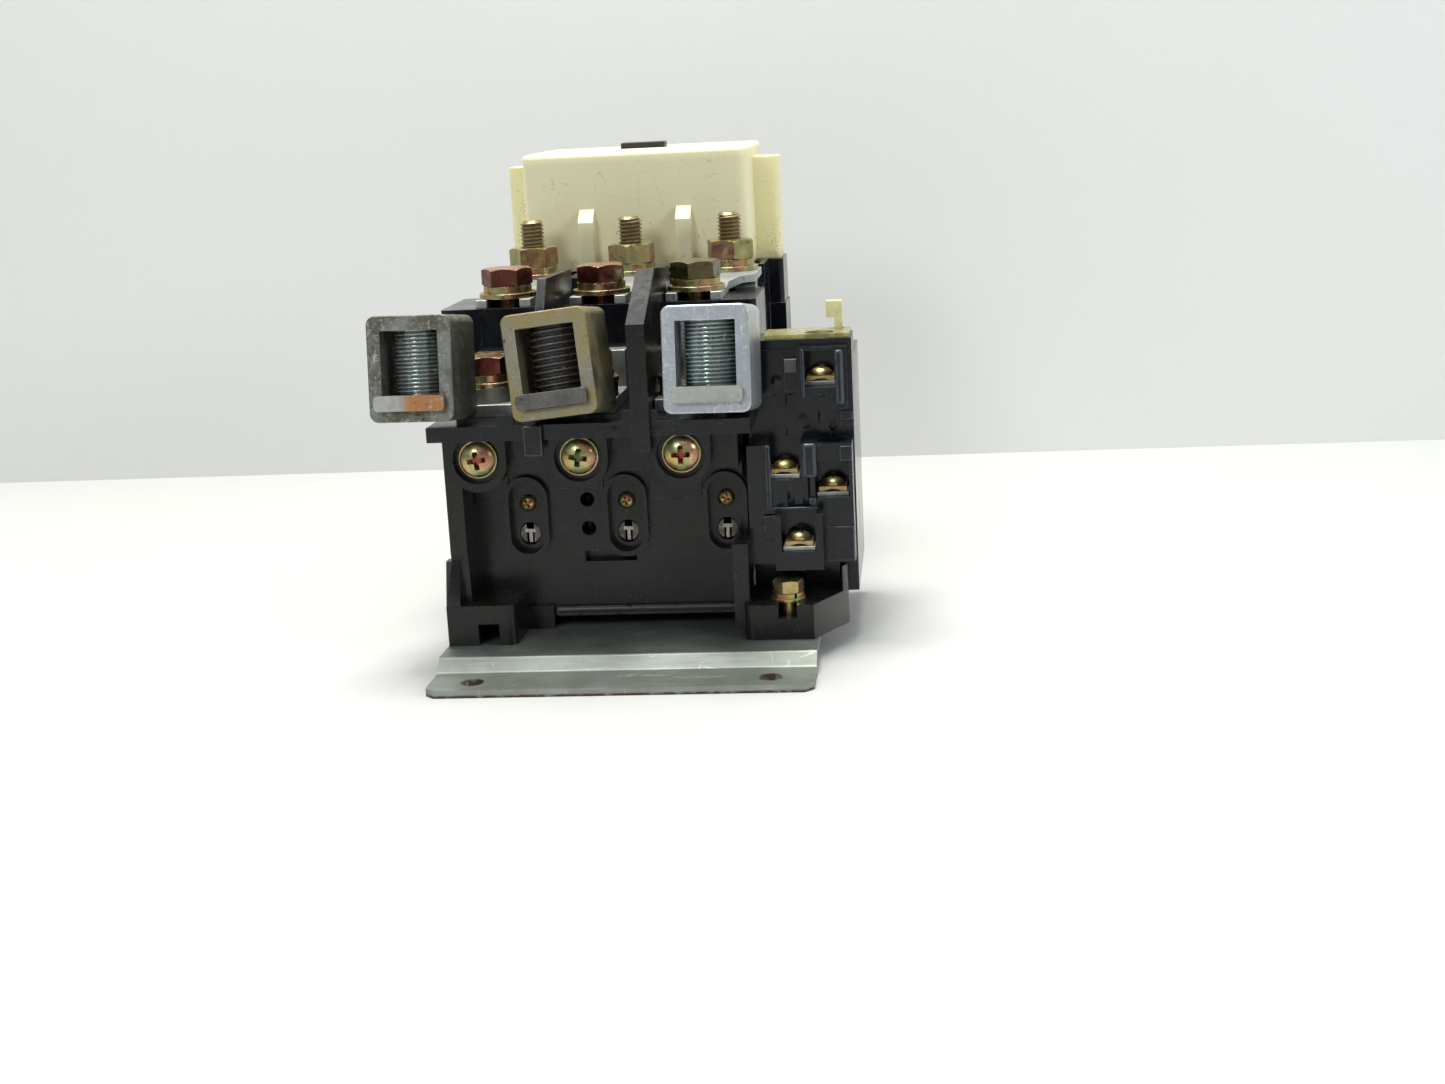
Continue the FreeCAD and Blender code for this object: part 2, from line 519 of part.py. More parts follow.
def lug_shapes(side):
    """Box, tongue and set screw of one lug, in a frame with the bolt on Z and the mouth towards -Y."""
    spread = LUG_SPREAD[side]
    bend = -13.0
    neck = 16.4
    head = 20.6
    palm_half = neck / 2
    outline = [(-palm_half, 0), (palm_half, 0), (palm_half, -1), (spread + palm_half, bend + 1),
               (spread + palm_half, bend - 0.2), (spread - palm_half, bend - 0.2),
               (spread - palm_half, bend + 1), (-palm_half, -1)]
    points = [Vector(x, y, 0) for x, y in outline]
    palm = Part.Face(Part.makePolygon(points + points[:1])).extrude(Vector(0, 0, TONGUE_T))
    palm = palm.fuse(Part.makeCylinder(palm_half + 0.4, TONGUE_T))
    front = -LUG_FACE_REACH
    arm = Part.makeBox(neck, bend - front + 2.5, TONGUE_T, Vector(spread - neck / 2, front - 2.5, 0))
    tee = Part.makeBox(head, 2.4, TONGUE_T, Vector(spread - head / 2, front - 2.5, 0))
    tee = tee.makeFillet(1.2, edges_along(tee, Y_AXIS))
    shell = Part.makeBox(LUG_WIDTH, LUG_DEPTH, LUG_HEIGHT, Vector(spread - LUG_WIDTH / 2, front, -LUG_FLOOR))
    shell = shell.makeFillet(2.6, edges_along(shell, Y_AXIS))
    rims = [edge for edge in shell.Edges if abs(edge.CenterOfMass.y - front) < 0.01]
    shell = shell.makeFillet(0.5, rims)
    mouth = Part.makeBox(LUG_OPENING, LUG_DEPTH + 2, LUG_HEIGHT - LUG_FLOOR - LUG_ROOF,
                         Vector(spread - LUG_OPENING / 2, front - 1, -FIT))
    axis = Vector(spread, front + LUG_DEPTH / 2, 0)
    screw_top = LUG_HEIGHT - LUG_FLOOR - 0.6
    bore = Part.makeCylinder(LUG_SCREW_R + FIT, LUG_HEIGHT, axis + Vector(0, 0, TONGUE_T), Z_AXIS)
    shell = shell.cut([mouth, bore])
    screw = Part.makeCylinder(LUG_SCREW_R, screw_top - TONGUE_T - 0.1, axis + Vector(0, 0, TONGUE_T + 0.1), Z_AXIS)
    slot = Part.makeBox(2 * LUG_SCREW_R + 2, 2.4, 4, axis + Vector(-LUG_SCREW_R - 1, -1.2, screw_top - 3.2))
    screw = screw.cut(slot)
    # box, arm and screw lift together about the bend, and roll about the arm
    pivot = Vector(spread, bend, 0)
    for piece in (shell, arm, tee, screw):
        piece.rotate(Vector(spread, front, TONGUE_T / 2), Y_AXIS, LUG_ROLL[side])
        piece.rotate(pivot, X_AXIS, -LUG_NOSE_UP)
    tongue = fuse([palm, arm, tee])
    tongue = tongue.cut(Part.makeCylinder(M8_R + FIT, TONGUE_T + 2, Vector(0, 0, -1), Z_AXIS))
    return shell, tongue, screw


def make_lugs():
    for side in SIDES:
        seat = lug_frame(side)
        shapes = lug_shapes(side)
        for name, shape in zip(("lug_box_", "lug_tongue_", "lug_screw_"), shapes):
            shape.rotate(Vector(0, 0, 0), Z_AXIS, LUG_SWIVEL[side])
            shape.translate(seat)
            keep(name + side, [shape])
        travel = Rotation(Z_AXIS, LUG_SWIVEL[side]).multVec(Rotation(X_AXIS, -LUG_NOSE_UP).multVec(
            Rotation(Y_AXIS, LUG_ROLL[side]).multVec(Z_AXIS)))
        print("lug", side, "bolt at", seat, "screw axis", travel)


# ---------------------------------------------------------------- auxiliary contact block

def flag_slot(z0, z1):
    """Guide slot round the reset flag's stem."""
    return block(FLAG_X - 1.5, FLAG_X + 1.5, FLAG_DEPTH - 1.8, FLAG_DEPTH + 1.8, z0, z1)


def make_aux_housing():
    front = block(AUX_LEFT, AUX_RIGHT, AUX_FRONT, AUX_STEP, AUX_BOTTOM, AUX_TOP)
    rear = block(AUX_LEFT, AUX_RIGHT, AUX_STEP, AUX_BACK, AUX_BOTTOM, AUX_REAR_TOP)
    middle_step = block(AUX_LEFT, AUX_RIGHT - 0.4, 46.5, AUX_FRONT, 25.5, 61)
    lower_step = block(43, 57, 37.5, 46.5, 25.5, 42)
    hood = block(50.2, AUX_RIGHT - 1.4, AUX_FRONT - 3.4, AUX_FRONT, 70.0, 88.4)
    chin = spigot(56.5, 70.4, AUX_FRONT - 2.4, AUX_FRONT, 4.6)
    panel = block(38.2, 50.2, AUX_FRONT - 1.2, AUX_FRONT, 74.0, 87.6)
    shape = fuse([front, rear, middle_step, lower_step, hood, chin, panel])
    # the upper part stands clear of the terminal block beside it
    cuts = [block(AUX_LEFT - 1, AUX_UPPER_LEFT, 30, AUX_BACK + 1, HOUSING_TOP, AUX_TOP + 1)]
    inside = AUX_RIGHT - AUX_WALL
    back = AUX_BACK - AUX_WALL
    cuts.append(block(AUX_LEFT + AUX_WALL, inside, AUX_STEP, back, AUX_BOTTOM + AUX_WALL, 64))
    cuts.append(block(AUX_UPPER_LEFT + AUX_WALL, inside, AUX_STEP, back, 63, AUX_CEILING))
    for x, depth, seat in AUX_TERMINALS:
        half = AUX_WASHER / 2 + 0.9
        cuts.append(block(x - half, x + half, depth - 12.5, depth + half, seat, seat + 11))
        cuts.append(post(x, depth - 0.2, seat + 5, seat + 24, 4.4))
        cuts.append(post(x, depth, seat - 8, seat + 1, 1.75 + FIT))
    cuts.append(spigot(60.2, 64.0, AUX_FRONT - 1, AUX_FRONT + 3, 1.3))
    cuts.append(post(DIAL_X, DIAL_DEPTH, DIAL_FLOOR, AUX_TOP + 1, DIAL_R + 0.3))
    cuts.append(post(DIAL_X, DIAL_DEPTH, DIAL_STEM_BOTTOM - 0.5, DIAL_FLOOR + 1, DIAL_STEM_R + FIT))
    cuts.append(flag_slot(FLAG_ROOM_TOP - 1, AUX_TOP + 1))
    cuts.append(block(54, inside, FLAG_DEPTH - 2.4, AUX_STEP + 1, FLAG_ROOM_FLOOR, FLAG_ROOM_TOP))
    cuts.append(block(AUX_LEFT - 1, AUX_LEFT + AUX_WALL + 1, 80, 99, 46, 60))
    keep("aux_housing", [shape.cut(cuts)])


def make_control_terminals():
    plates = []
    clamps = []
    screws = []
    for x, depth, seat in AUX_TERMINALS:
        half = AUX_WASHER / 2
        plate = block(x - half - 0.6, x + half + 0.6, depth - 5, depth + half + 0.6, seat + 0.02, seat + 1.2)
        plates.append(plate.cut(post(x, depth, seat - 1, seat + 2, 1.75 + FIT)))
        clamp = block(x - half, x + half, depth - half, depth + half, seat + 1.24, seat + 2.6)
        saddle = Part.makeCylinder(6.0, 2 * half, Vector(x, y_at(depth - half), seat - 4.1), Y_AXIS)
        clamps.append(clamp.cut([saddle, post(x, depth, seat, seat + 3, 1.95)]))
        head_z = seat + 2.64
        dome_r = 5.2
        dome = Part.makeSphere(dome_r, Vector(x, y_at(depth), head_z + 2.4 - dome_r))
        head = dome.common(post(x, depth, head_z, head_z + 2.4, 3.4))
        screw = head.fuse(post(x, depth, seat - 7, head_z, 1.75))
        cross = [block(x - 1.9, x + 1.9, depth - 0.4, depth + 0.4, head_z + 1.2, head_z + 3),
                 block(x - 0.4, x + 0.4, depth - 1.9, depth + 1.9, head_z + 1.2, head_z + 3)]
        screws.append(screw.cut(cross))
    for depth in COIL_TERMINAL_DEPTHS:
        plate = block(BASE_LEFT + 0.6, BASE_LEFT + 9.6, depth - 4.6, depth + 4.6, 70.02, 71.2)
        plates.append(plate.cut(post(COIL_TERMINAL_X, depth, 69, 73, 1.75 + FIT)))
        screws.append(post(COIL_TERMINAL_X, depth, 71.24, 73.4, 3.4).fuse(
            post(COIL_TERMINAL_X, depth, 63, 71.3, 1.75)))
    keep("control_terminal_plates", plates)
    keep("control_clamp_washers", clamps)
    keep("control_terminal_screws", screws)


def make_aux_controls():
    window = block(40.5, AUX_RIGHT - 0.6, 60, 75.4, AUX_TOP + 0.02, AUX_TOP + WINDOW_T)
    keep("dial_window", [window.cut([post(AUX_TERMINALS[0][0], AUX_TERMINALS[0][1], AUX_TOP - 1, AUX_TOP + 3, 4.4),
                                     flag_slot(AUX_TOP - 1, AUX_TOP + 3)])])
    dial = post(DIAL_X, DIAL_DEPTH, DIAL_FLOOR + FIT, AUX_TOP - 0.1, DIAL_R)
    slot = block(DIAL_X - 3, DIAL_X + 3, DIAL_DEPTH - 0.6, DIAL_DEPTH + 0.6, AUX_TOP - 1.8, AUX_TOP + 1)
    stem = post(DIAL_X, DIAL_DEPTH, DIAL_STEM_BOTTOM, DIAL_FLOOR + FIT, DIAL_STEM_R)
    keep("setting_dial", [fuse([dial.cut(slot), stem])])
    # the flag's shoulder stops under its room's roof, and a spring stands beside its stem
    half = 1.2
    near = FLAG_DEPTH - 1.5
    far = FLAG_DEPTH + 1.5
    stem = block(FLAG_X - half, FLAG_X + half, near, far, FLAG_ROOM_FLOOR + 3.3, 97)
    flag = block(FLAG_X - 3.6, FLAG_X + half, near, far, 95, 100)
    shoulder = block(56.8, FLAG_X + half, near - 0.5, far + 0.5, FLAG_ROOM_TOP - 2.2, FLAG_ROOM_TOP - 0.1)
    keep("reset_flag", [fuse([stem, flag, shoulder])])
    keep("reset_spring", [ring(58.8, FLAG_DEPTH, FLAG_ROOM_FLOOR + 0.02, FLAG_ROOM_TOP - 2.22, 1.9, 1.3)])
    lever = block(LEVER_X - 1.2, LEVER_X + 1.2, LEVER_DEPTH - 3, LEVER_DEPTH + 3, LEVER_Z, 62)
    hub = Part.makeCylinder(3.0, 6, Vector(LEVER_X, y_at(LEVER_DEPTH - 3), LEVER_Z), Y_AXIS)
    pin_start = Vector(LEVER_X, y_at(LEVER_DEPTH - 5), LEVER_Z)
    bore = Part.makeCylinder(LEVER_PIN_R + FIT, 12, pin_start, Y_AXIS)
    keep("trip_lever", [fuse([lever, hub]).cut(bore)])
    pin_length = AUX_BACK - AUX_WALL - 0.02 - (LEVER_DEPTH - 5)
    keep("lever_pin", [Part.makeCylinder(LEVER_PIN_R, pin_length, pin_start, Y_AXIS)])
    leaf = block(LEVER_X + 1.22, LEVER_X + 1.6, LEVER_DEPTH - 2, LEVER_DEPTH + 2, 46, 61)
    tip = Part.makeCylinder(1.4, 1.0, Vector(LEVER_X + 1.6, y_at(LEVER_DEPTH), TRIP_CONTACT_Z), X_AXIS)
    keep("trip_contact", [leaf.fuse(tip)])
    fixed = block(51.9, 52.9, LEVER_DEPTH - 3, AUX_BACK - AUX_WALL - 0.02, 52, 66)
    rivet = Part.makeCylinder(1.6, 1.0, Vector(50.9, y_at(LEVER_DEPTH), TRIP_CONTACT_Z), X_AXIS)
    keep("fixed_trip_contact", [fixed.fuse(rivet)])


def make_foot_bolt():
    seat = 16.44
    flat = ring(FOOT_BOLT_X, FOOT_BOLT_DEPTH, seat, seat + 1.0, 5.0, M5_R + 0.15)
    spring = split_washer(FOOT_BOLT_X, FOOT_BOLT_DEPTH, seat + 1.0, 4.6, M5_R + 0.15, -60, 1.3)
    head = hexagon(FOOT_BOLT_X, FOOT_BOLT_DEPTH, seat + 2.3, seat + 6.0, 8.0, 12)
    shank = post(FOOT_BOLT_X, FOOT_BOLT_DEPTH, 1.0, seat + 2.3, M5_R)
    keep("foot_bolt", [head.fuse(shank).removeSplitter(), flat, spring])


# ---------------------------------------------------------------- contactor

def make_contactor_base():
    shell = block(BASE_LEFT, BASE_RIGHT, BASE_FRONT, BASE_BACK, DECK_Z, BASE_TOP)
    cuts = [block(CONTACTOR_X - 33, CONTACTOR_X + 33, BASE_FRONT + 4, BASE_BACK - 4, 11, BASE_TOP + 1)]
    for x, depth in plate_screw_spots():
        x0, x1 = (BASE_LEFT - 1, x + 6.5) if x < CONTACTOR_X else (x - 6.5, BASE_RIGHT + 1)
        d0, d1 = (BASE_FRONT - 1, depth + 6.5) if depth < CENTRE_DEPTH else (depth - 6.5, BASE_BACK + 1)
        cuts.append(block(x0, x1, d0, d1, FOOT_TOP, 80))
        cuts.append(post(x, depth, DECK_Z - 1, 13, M5_R + 0.2))
    for depth in COIL_TERMINAL_DEPTHS:
        cuts.append(block(BASE_LEFT - 1, BASE_LEFT + 10, depth - 6, depth + 6, 70, 84))
        cuts.append(post(COIL_TERMINAL_X, depth, 62, 71, 1.75 + FIT))
    # on the right only the middle stays wide above the foot
    end, side = CONTACTOR_X + END_HALF, CONTACTOR_X + MIDDLE_HALF + 0.4
    cuts.append(block(side, BASE_RIGHT + 1, BASE_FRONT - 1, BASE_BACK + 1, FOOT_TOP, BASE_TOP + 1))
    cuts.append(block(end, BASE_RIGHT + 1, BASE_FRONT - 1, CENTRE_DEPTH - MIDDLE_REACH, FOOT_TOP, BASE_TOP + 1))
    cuts.append(block(end, BASE_RIGHT + 1, CENTRE_DEPTH + MIDDLE_REACH, BASE_BACK + 1, FOOT_TOP, BASE_TOP + 1))
    keep("contactor_base", [shell.cut(cuts)])


def terminal_pockets():
    """One pocket for each of the six main terminals, open to its own end of the contactor."""
    pockets = []
    for x in CONTACTOR_POLES:
        pockets.append(block(x - 12.6, x + 12.6, BASE_FRONT - 1, COVER_FRONT + 1, TERMINAL_BOTTOM, FRAME_TOP + 1))
        pockets.append(block(x - 12.6, x + 12.6, 2 * CENTRE_DEPTH - COVER_FRONT - 1, BASE_BACK + 1,
                             TERMINAL_BOTTOM, FRAME_TOP + 1))
        low = max(x - 10.4, CONTACTOR_X - END_HALF + 1.8)
        high = min(x + 10.4, CONTACTOR_X + END_HALF - 1.8)
        pockets.append(block(low, high, COVER_FRONT, 2 * CENTRE_DEPTH - COVER_FRONT, TERMINAL_BOTTOM, FRAME_TOP + 1))
    return pockets


def stud_spots():
    return [(x, depth) for depth in (STUD_DEPTH, 2 * CENTRE_DEPTH - STUD_DEPTH) for x in CONTACTOR_POLES]


def make_contactor_frame():
    ends = block(CONTACTOR_X - END_HALF, CONTACTOR_X + END_HALF, BASE_FRONT, BASE_BACK, BASE_TOP + 0.02, FRAME_TOP)
    middle = block(CONTACTOR_X - MIDDLE_HALF, CONTACTOR_X + MIDDLE_HALF, CENTRE_DEPTH - MIDDLE_REACH,
                   CENTRE_DEPTH + MIDDLE_REACH, BASE_TOP + 0.02, FRAME_TOP)
    middle = middle.makeFillet(1.8, edges_along(middle, Z_AXIS))
    frame = fuse([ends, middle])
    cuts = terminal_pockets()
    cuts.append(block(CONTACTOR_X - 44, CONTACTOR_X + 44, CENTRE_DEPTH - 9, CENTRE_DEPTH + 9,
                      TERMINAL_BOTTOM, FRAME_TOP + 1))
    cuts.append(block(CONTACTOR_X - 18, CONTACTOR_X + 18, CENTRE_DEPTH - 9, CENTRE_DEPTH + 9,
                      BASE_TOP - 1, FRAME_TOP + 1))
    for x, depth in stud_spots():
        cuts.append(hexagon(x, depth, TERMINAL_BOTTOM - 4.6, TERMINAL_BOTTOM + 1, 13.2))
    keep("contactor_frame", [frame.cut(cuts)])


def make_main_terminals():
    load = []
    line = []
    for (x, depth), tip_x in zip(stud_spots(), CONTACT_POLES * 2):
        front = depth < CENTRE_DEPTH
        inward = 1 if front else -1
        near = depth - 7.4 * inward
        far = depth + 31 * inward
        low, high = min(near, far), max(near, far)
        bar = block(x - 7.5, x + 7.5, low, high, TERMINAL_BOTTOM + 0.02, TERMINAL_TOP)
        tip = post(tip_x, depth + 27 * inward, TERMINAL_TOP, TERMINAL_TOP + 2.0, CONTACT_TIP_R)
        bar = fuse([bar, tip]).cut(post(x, depth, 90, 110, M8_R + FIT))
        (load if front else line).append(bar)
    keep("load_terminals", load)
    keep("line_terminals", line)


def make_control_tap():
    """Small tap terminal clipped beside the right-hand load stud."""
    right = CONTACTOR_POLES[2] + 9.6
    foot = block(right - 6.6, right, 122.6, 131.0, TERMINAL_BOTTOM + 0.02, TERMINAL_BOTTOM + 0.9)
    upright = block(right - 4.2, right - 0.4, 122.6, 123.5, 95.4, TERMINAL_BOTTOM + 0.9)
    barrel = Part.makeCylinder(1.5, 7.0, Vector(right - 7.2, y_at(124.4), TERMINAL_BOTTOM + 1.7), X_AXIS)
    keep("control_tap", [fuse([foot, upright, barrel])])


def make_arc_cover():
    mid = CENTRE_DEPTH
    rear = 2 * mid - COVER_FRONT
    bottom = FRAME_TOP + 0.02
    main = block(COVER_LEFT, COVER_RIGHT, COVER_FRONT, rear, bottom, COVER_TOP)
    main = main.makeFillet(4.0, edges_along(main, Z_AXIS))
    main = main.makeFillet(1.8, [edge for edge in main.Edges if abs(edge.CenterOfMass.z - COVER_TOP) < 0.01])
    wings = block(WING_LEFT, WING_RIGHT, mid - WING_HALF, mid + WING_HALF, bottom, WING_TOP)
    wings = wings.makeFillet(1.8, edges_along(wings, Z_AXIS))
    ribs = []
    gaps = [CONTACTOR_X - CONTACTOR_PITCH / 2, CONTACTOR_X + CONTACTOR_PITCH / 2]
    for x in gaps:
        for face, out in ((COVER_FRONT, -1), (rear, 1)):
            ribs.append(prism_x([(face - out, bottom), (face + 5 * out, bottom), (face + 5 * out, 121.5),
                                 (face - out, 126.5)], x - 2.6, x + 2.6))
    shell = fuse([main, wings] + ribs)
    wall = COVER_WALL
    hollow = block(COVER_LEFT + wall, COVER_RIGHT - wall, COVER_FRONT + wall, rear - wall, bottom - 1,
                   COVER_TOP - wall - 0.4)
    wing_hollow = block(WING_LEFT + wall, WING_RIGHT - wall, mid - WING_HALF + wall, mid + WING_HALF - wall,
                        bottom - 1, WING_TOP - wall)
    shell = shell.cut([hollow, wing_hollow])
    webs = []
    for x in gaps:
        for near, far in ((COVER_FRONT + 1, mid - 8.6), (mid + 8.6, rear - 1)):
            webs.append(block(x - 1, x + 1, near, far, bottom, COVER_TOP - 1.5))
    shell = shell.fuse(webs).removeSplitter()
    sight = block(CONTACTOR_X - 8.4, CONTACTOR_X + 8.4, mid - 4.6, mid + 4.6, COVER_TOP - 6, COVER_TOP + 1)
    keep("arc_cover", [shell.cut(sight)])


def make_arc_grids():
    """Steel splitter plates, five over each end of each contact bridge, notched for the arc."""
    plates = []
    inner = COVER_WALL + 0.3
    webs = [CONTACTOR_X - CONTACTOR_PITCH / 2, CONTACTOR_X + CONTACTOR_PITCH / 2]
    chambers = [(COVER_LEFT + inner, webs[0] - 1.3), (webs[0] + 1.3, webs[1] - 1.3),
                (webs[1] + 1.3, COVER_RIGHT - inner)]
    for (x0, x1), contact in zip(chambers, CONTACT_POLES):
        for inward, face in ((1, COVER_FRONT + 3.4), (-1, 2 * CENTRE_DEPTH - COVER_FRONT - 3.4)):
            d0, d1 = sorted((face, face + 7.5 * inward))
            n0, n1 = sorted((face + 4 * inward, face + 9 * inward))
            for i in range(5):
                z = 114.0 + 5.0 * i
                plate = block(x0, x1, d0, d1, z, z + 1.0)
                plates.append(plate.cut(block(contact - 3, contact + 3, n0, n1, z - 1, z + 2)))
    keep("arc_grids", plates)


def make_moving_system():
    mid = CENTRE_DEPTH
    x = CONTACTOR_X
    bar = block(x - 35.8, x + 35.8, mid - 6.6, mid + 6.6, 107, 137)
    windows = [block(pole - 6, pole + 6, mid - 8, mid + 8, 110.6, 126) for pole in CONTACT_POLES]
    stem = block(x - 16, x + 16, mid - 6.6, mid + 6.6, 88, 107)
    foot = block(x - 26, x + 26, mid - 37, mid + 37, 84.04, 88)
    indicator = block(x - 7.7, x + 7.7, mid - 3.8, mid + 3.8, 137, COVER_TOP + 2.0)
    keep("contact_carrier", [fuse([bar, stem, foot, indicator]).cut(windows)])
    gap_z = TERMINAL_TOP + 2.0 + TRAVEL + 0.1
    bridges = []
    springs = []
    for pole in CONTACT_POLES:
        bridge = block(pole - 5, pole + 5, mid - 22.6, mid + 22.6, gap_z + 1.8, gap_z + 4.0)
        tips = [post(pole, mid + side * 18.1, gap_z, gap_z + 1.8, CONTACT_TIP_R) for side in (-1, 1)]
        bridges.append(fuse([bridge] + tips))
        springs.append(ring(pole, mid, gap_z + 4.02, 125.95, 4.4, 3.4))
    keep("contact_bridges", bridges)
    keep("contact_springs", springs)
    keep("armature", [magnet_core(84.0, LEG_TOP + MAGNET_GAP, -1)])
    keep("return_springs", [ring(x, mid + side * 31, 58.52, 84.02, 4.5, 3.5) for side in (-1, 1)])


def magnet_core(back_z, tip_z, direction):
    """Laminated E core: its back at back_z, its three legs reaching tip_z."""
    x = CONTACTOR_X
    back = 14.0
    z0, z1 = sorted((back_z, back_z + back * direction))
    spine = block(x - CORE_HALF_X, x + CORE_HALF_X, CENTRE_DEPTH - CORE_HALF_Y, CENTRE_DEPTH + CORE_HALF_Y, z0, z1)
    l0, l1 = sorted((back_z, tip_z))
    legs = []
    for a, b in ((-CORE_HALF_X, -CORE_HALF_X + 8), (-7, 7), (CORE_HALF_X - 8, CORE_HALF_X)):
        legs.append(block(x + a, x + b, CENTRE_DEPTH - CORE_HALF_Y, CENTRE_DEPTH + CORE_HALF_Y, l0, l1))
    return fuse([spine] + legs)


def make_fixed_magnet():
    mid = CENTRE_DEPTH
    x = CONTACTOR_X
    core_bottom = 12.1
    core = magnet_core(core_bottom, LEG_TOP, 1)
    ring_cuts = []
    rings = []
    for a, b in ((-CORE_HALF_X, -CORE_HALF_X + 8), (CORE_HALF_X - 8, CORE_HALF_X)):
        outer = block(x + a + 1.2, x + b - 1.2, mid - 9, mid + 9, LEG_TOP - 2.4, LEG_TOP - 0.4)
        inner = block(x + a + 2.8, x + b - 2.8, mid - 7.4, mid + 7.4, LEG_TOP - 3, LEG_TOP + 1)
        band = outer.cut(inner)
        rings.append(band)
        ring_cuts.append(block(x + a + 1.2, x + b - 1.2, mid - 9, mid + 9, LEG_TOP - 2.4, LEG_TOP + 1).cut(inner))
    keep("fixed_core", [core.cut(ring_cuts)])
    keep("shading_rings", rings)
    low = core_bottom + 14.1
    tube = block(x - 9.4, x + 9.4, mid - 14.4, mid + 14.4, low, 55.4)
    bottom = block(x - 18.6, x + 18.6, mid - 22, mid + 22, low, low + 2)
    top = block(x - 18.6, x + 18.6, mid - 22, mid + 22, 53.4, 55.4)
    seats = [block(x - 6.5, x + 6.5, mid + d0, mid + d1, 53.4, 58.5) for d0, d1 in ((-37, -22), (22, 37))]
    bore = block(x - 7.2, x + 7.2, mid - CORE_HALF_Y - 0.2, mid + CORE_HALF_Y + 0.2, low - 1, 60)
    keep("coil_bobbin", [fuse([tube, bottom, top] + seats).cut(bore)])
    winding = block(x - 17.8, x + 17.8, mid - 21, mid + 21, low + 2.02, 53.38)
    winding = winding.makeFillet(6.0, edges_along(winding, Z_AXIS))
    keep("coil", [winding.cut(block(x - 9.42, x + 9.42, mid - 14.42, mid + 14.42, low, 56))])
    pads = [block(x + a, x + a + 10, mid - 10, mid + 10, 11.02, 12.08) for a in (-CORE_HALF_X + 2, CORE_HALF_X - 12)]
    keep("cushion_pads", pads)


def make_contactor_screws():
    screws = []
    for x, depth in plate_screw_spots():
        head = hexagon(x, depth, 13.4, 16.9, 8.0, 10)
        collar = post(x, depth, 12.14, 13.4, 5.0)
        screws.append(fuse([head, collar, post(x, depth, 1.0, 12.2, M5_R)]))
    keep("contactor_screws", screws)


def main():
    os.makedirs(PARTS, exist_ok=True)
    for make in (make_base_plate, make_relay_housing, make_relay_rear_cover, make_terminal_block,
                 make_phase_barriers, make_relay_bars, make_power_fasteners, make_relay_front_screws,
                 make_relay_inside, make_lugs, make_aux_housing, make_control_terminals, make_aux_controls,
                 make_foot_bolt, make_contactor_base, make_contactor_frame, make_main_terminals,
                 make_control_tap, make_arc_cover, make_arc_grids, make_moving_system,
                 make_fixed_magnet, make_contactor_screws):
        make()


main()
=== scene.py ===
import json
import math

import bmesh
import bpy
from mathutils import Matrix, Vector


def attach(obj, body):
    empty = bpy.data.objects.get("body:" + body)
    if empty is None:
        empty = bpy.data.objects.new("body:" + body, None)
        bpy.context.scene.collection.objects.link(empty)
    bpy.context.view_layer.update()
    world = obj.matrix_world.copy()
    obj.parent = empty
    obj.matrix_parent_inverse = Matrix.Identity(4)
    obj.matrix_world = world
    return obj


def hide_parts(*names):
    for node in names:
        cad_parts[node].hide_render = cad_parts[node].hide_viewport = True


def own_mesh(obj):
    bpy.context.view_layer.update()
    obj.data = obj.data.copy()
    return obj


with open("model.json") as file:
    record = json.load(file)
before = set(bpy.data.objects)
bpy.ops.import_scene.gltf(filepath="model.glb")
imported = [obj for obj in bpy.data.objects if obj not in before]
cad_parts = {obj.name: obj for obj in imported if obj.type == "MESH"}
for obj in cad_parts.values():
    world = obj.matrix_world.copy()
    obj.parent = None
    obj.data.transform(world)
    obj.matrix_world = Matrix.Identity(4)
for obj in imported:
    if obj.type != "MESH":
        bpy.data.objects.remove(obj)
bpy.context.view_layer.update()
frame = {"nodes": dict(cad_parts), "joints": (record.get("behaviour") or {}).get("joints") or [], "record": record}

nodes = frame["nodes"]
mm = 0.001
bodyOf = {node: body for body, members in frame["record"]["behaviour"]["bodies"].items() for node in members}
jointAxis = {joint["name"]: Vector(joint["axis"]).normalized() for joint in frame["joints"]}
print("frame loaded:", len(nodes), "nodes")


# how the starter is lit and seen; lengths in mm
studio = {
    "cameraPlace": (88.1, -654.1, 162.5), "cameraYaw": -6.143, "cameraDown": 12.764, "cameraRoll": 2.845,
    "cameraLens": 49.47, "floorTint": (0.61, 0.615, 0.595), "wallTint": (0.73, 0.735, 0.72),
    "wallPlace": 223.0, "worldTint": (0.93, 0.96, 1.0), "worldStrength": 0.30,
    "lamps": [("topLamp", (-90, 20, 1100), (0, -40, 60), 480, 15.5, (1.0, 0.99, 0.96)),
              ("frontLamp", (-420, -1150, 700), (0, -60, 70), 300, 4.0, (0.92, 0.96, 1.0)),
              ("rightLamp", (900, -500, 500), (20, 0, 60), 260, 3.2, (0.93, 0.97, 1.0))]}


def addNode(tree, kind, inputs=None, **settings):
    node = tree.nodes.new(kind)
    for key, value in settings.items():
        setattr(node, key, value)
    for socket, source in (inputs or {}).items():
        if isinstance(source, bpy.types.NodeSocket):
            tree.links.new(source, node.inputs[socket])
        else:
            node.inputs[socket].default_value = source
    return node


def calc(tree, operation, first, second=0.0, clamp=False):
    return addNode(tree, "ShaderNodeMath", {0: first, 1: second}, operation=operation,
                   use_clamp=clamp).outputs[0]


def mixColour(tree, factor, first, second, mode="MIX"):
    node = addNode(tree, "ShaderNodeMix", {0: factor}, data_type="RGBA", blend_type=mode)
    for socket, source in ((6, first), (7, second)):
        if isinstance(source, bpy.types.NodeSocket):
            tree.links.new(source, node.inputs[socket])
        else:
            node.inputs[socket].default_value = tuple(source)[:3] + (1.0,)
    return node.outputs[2]


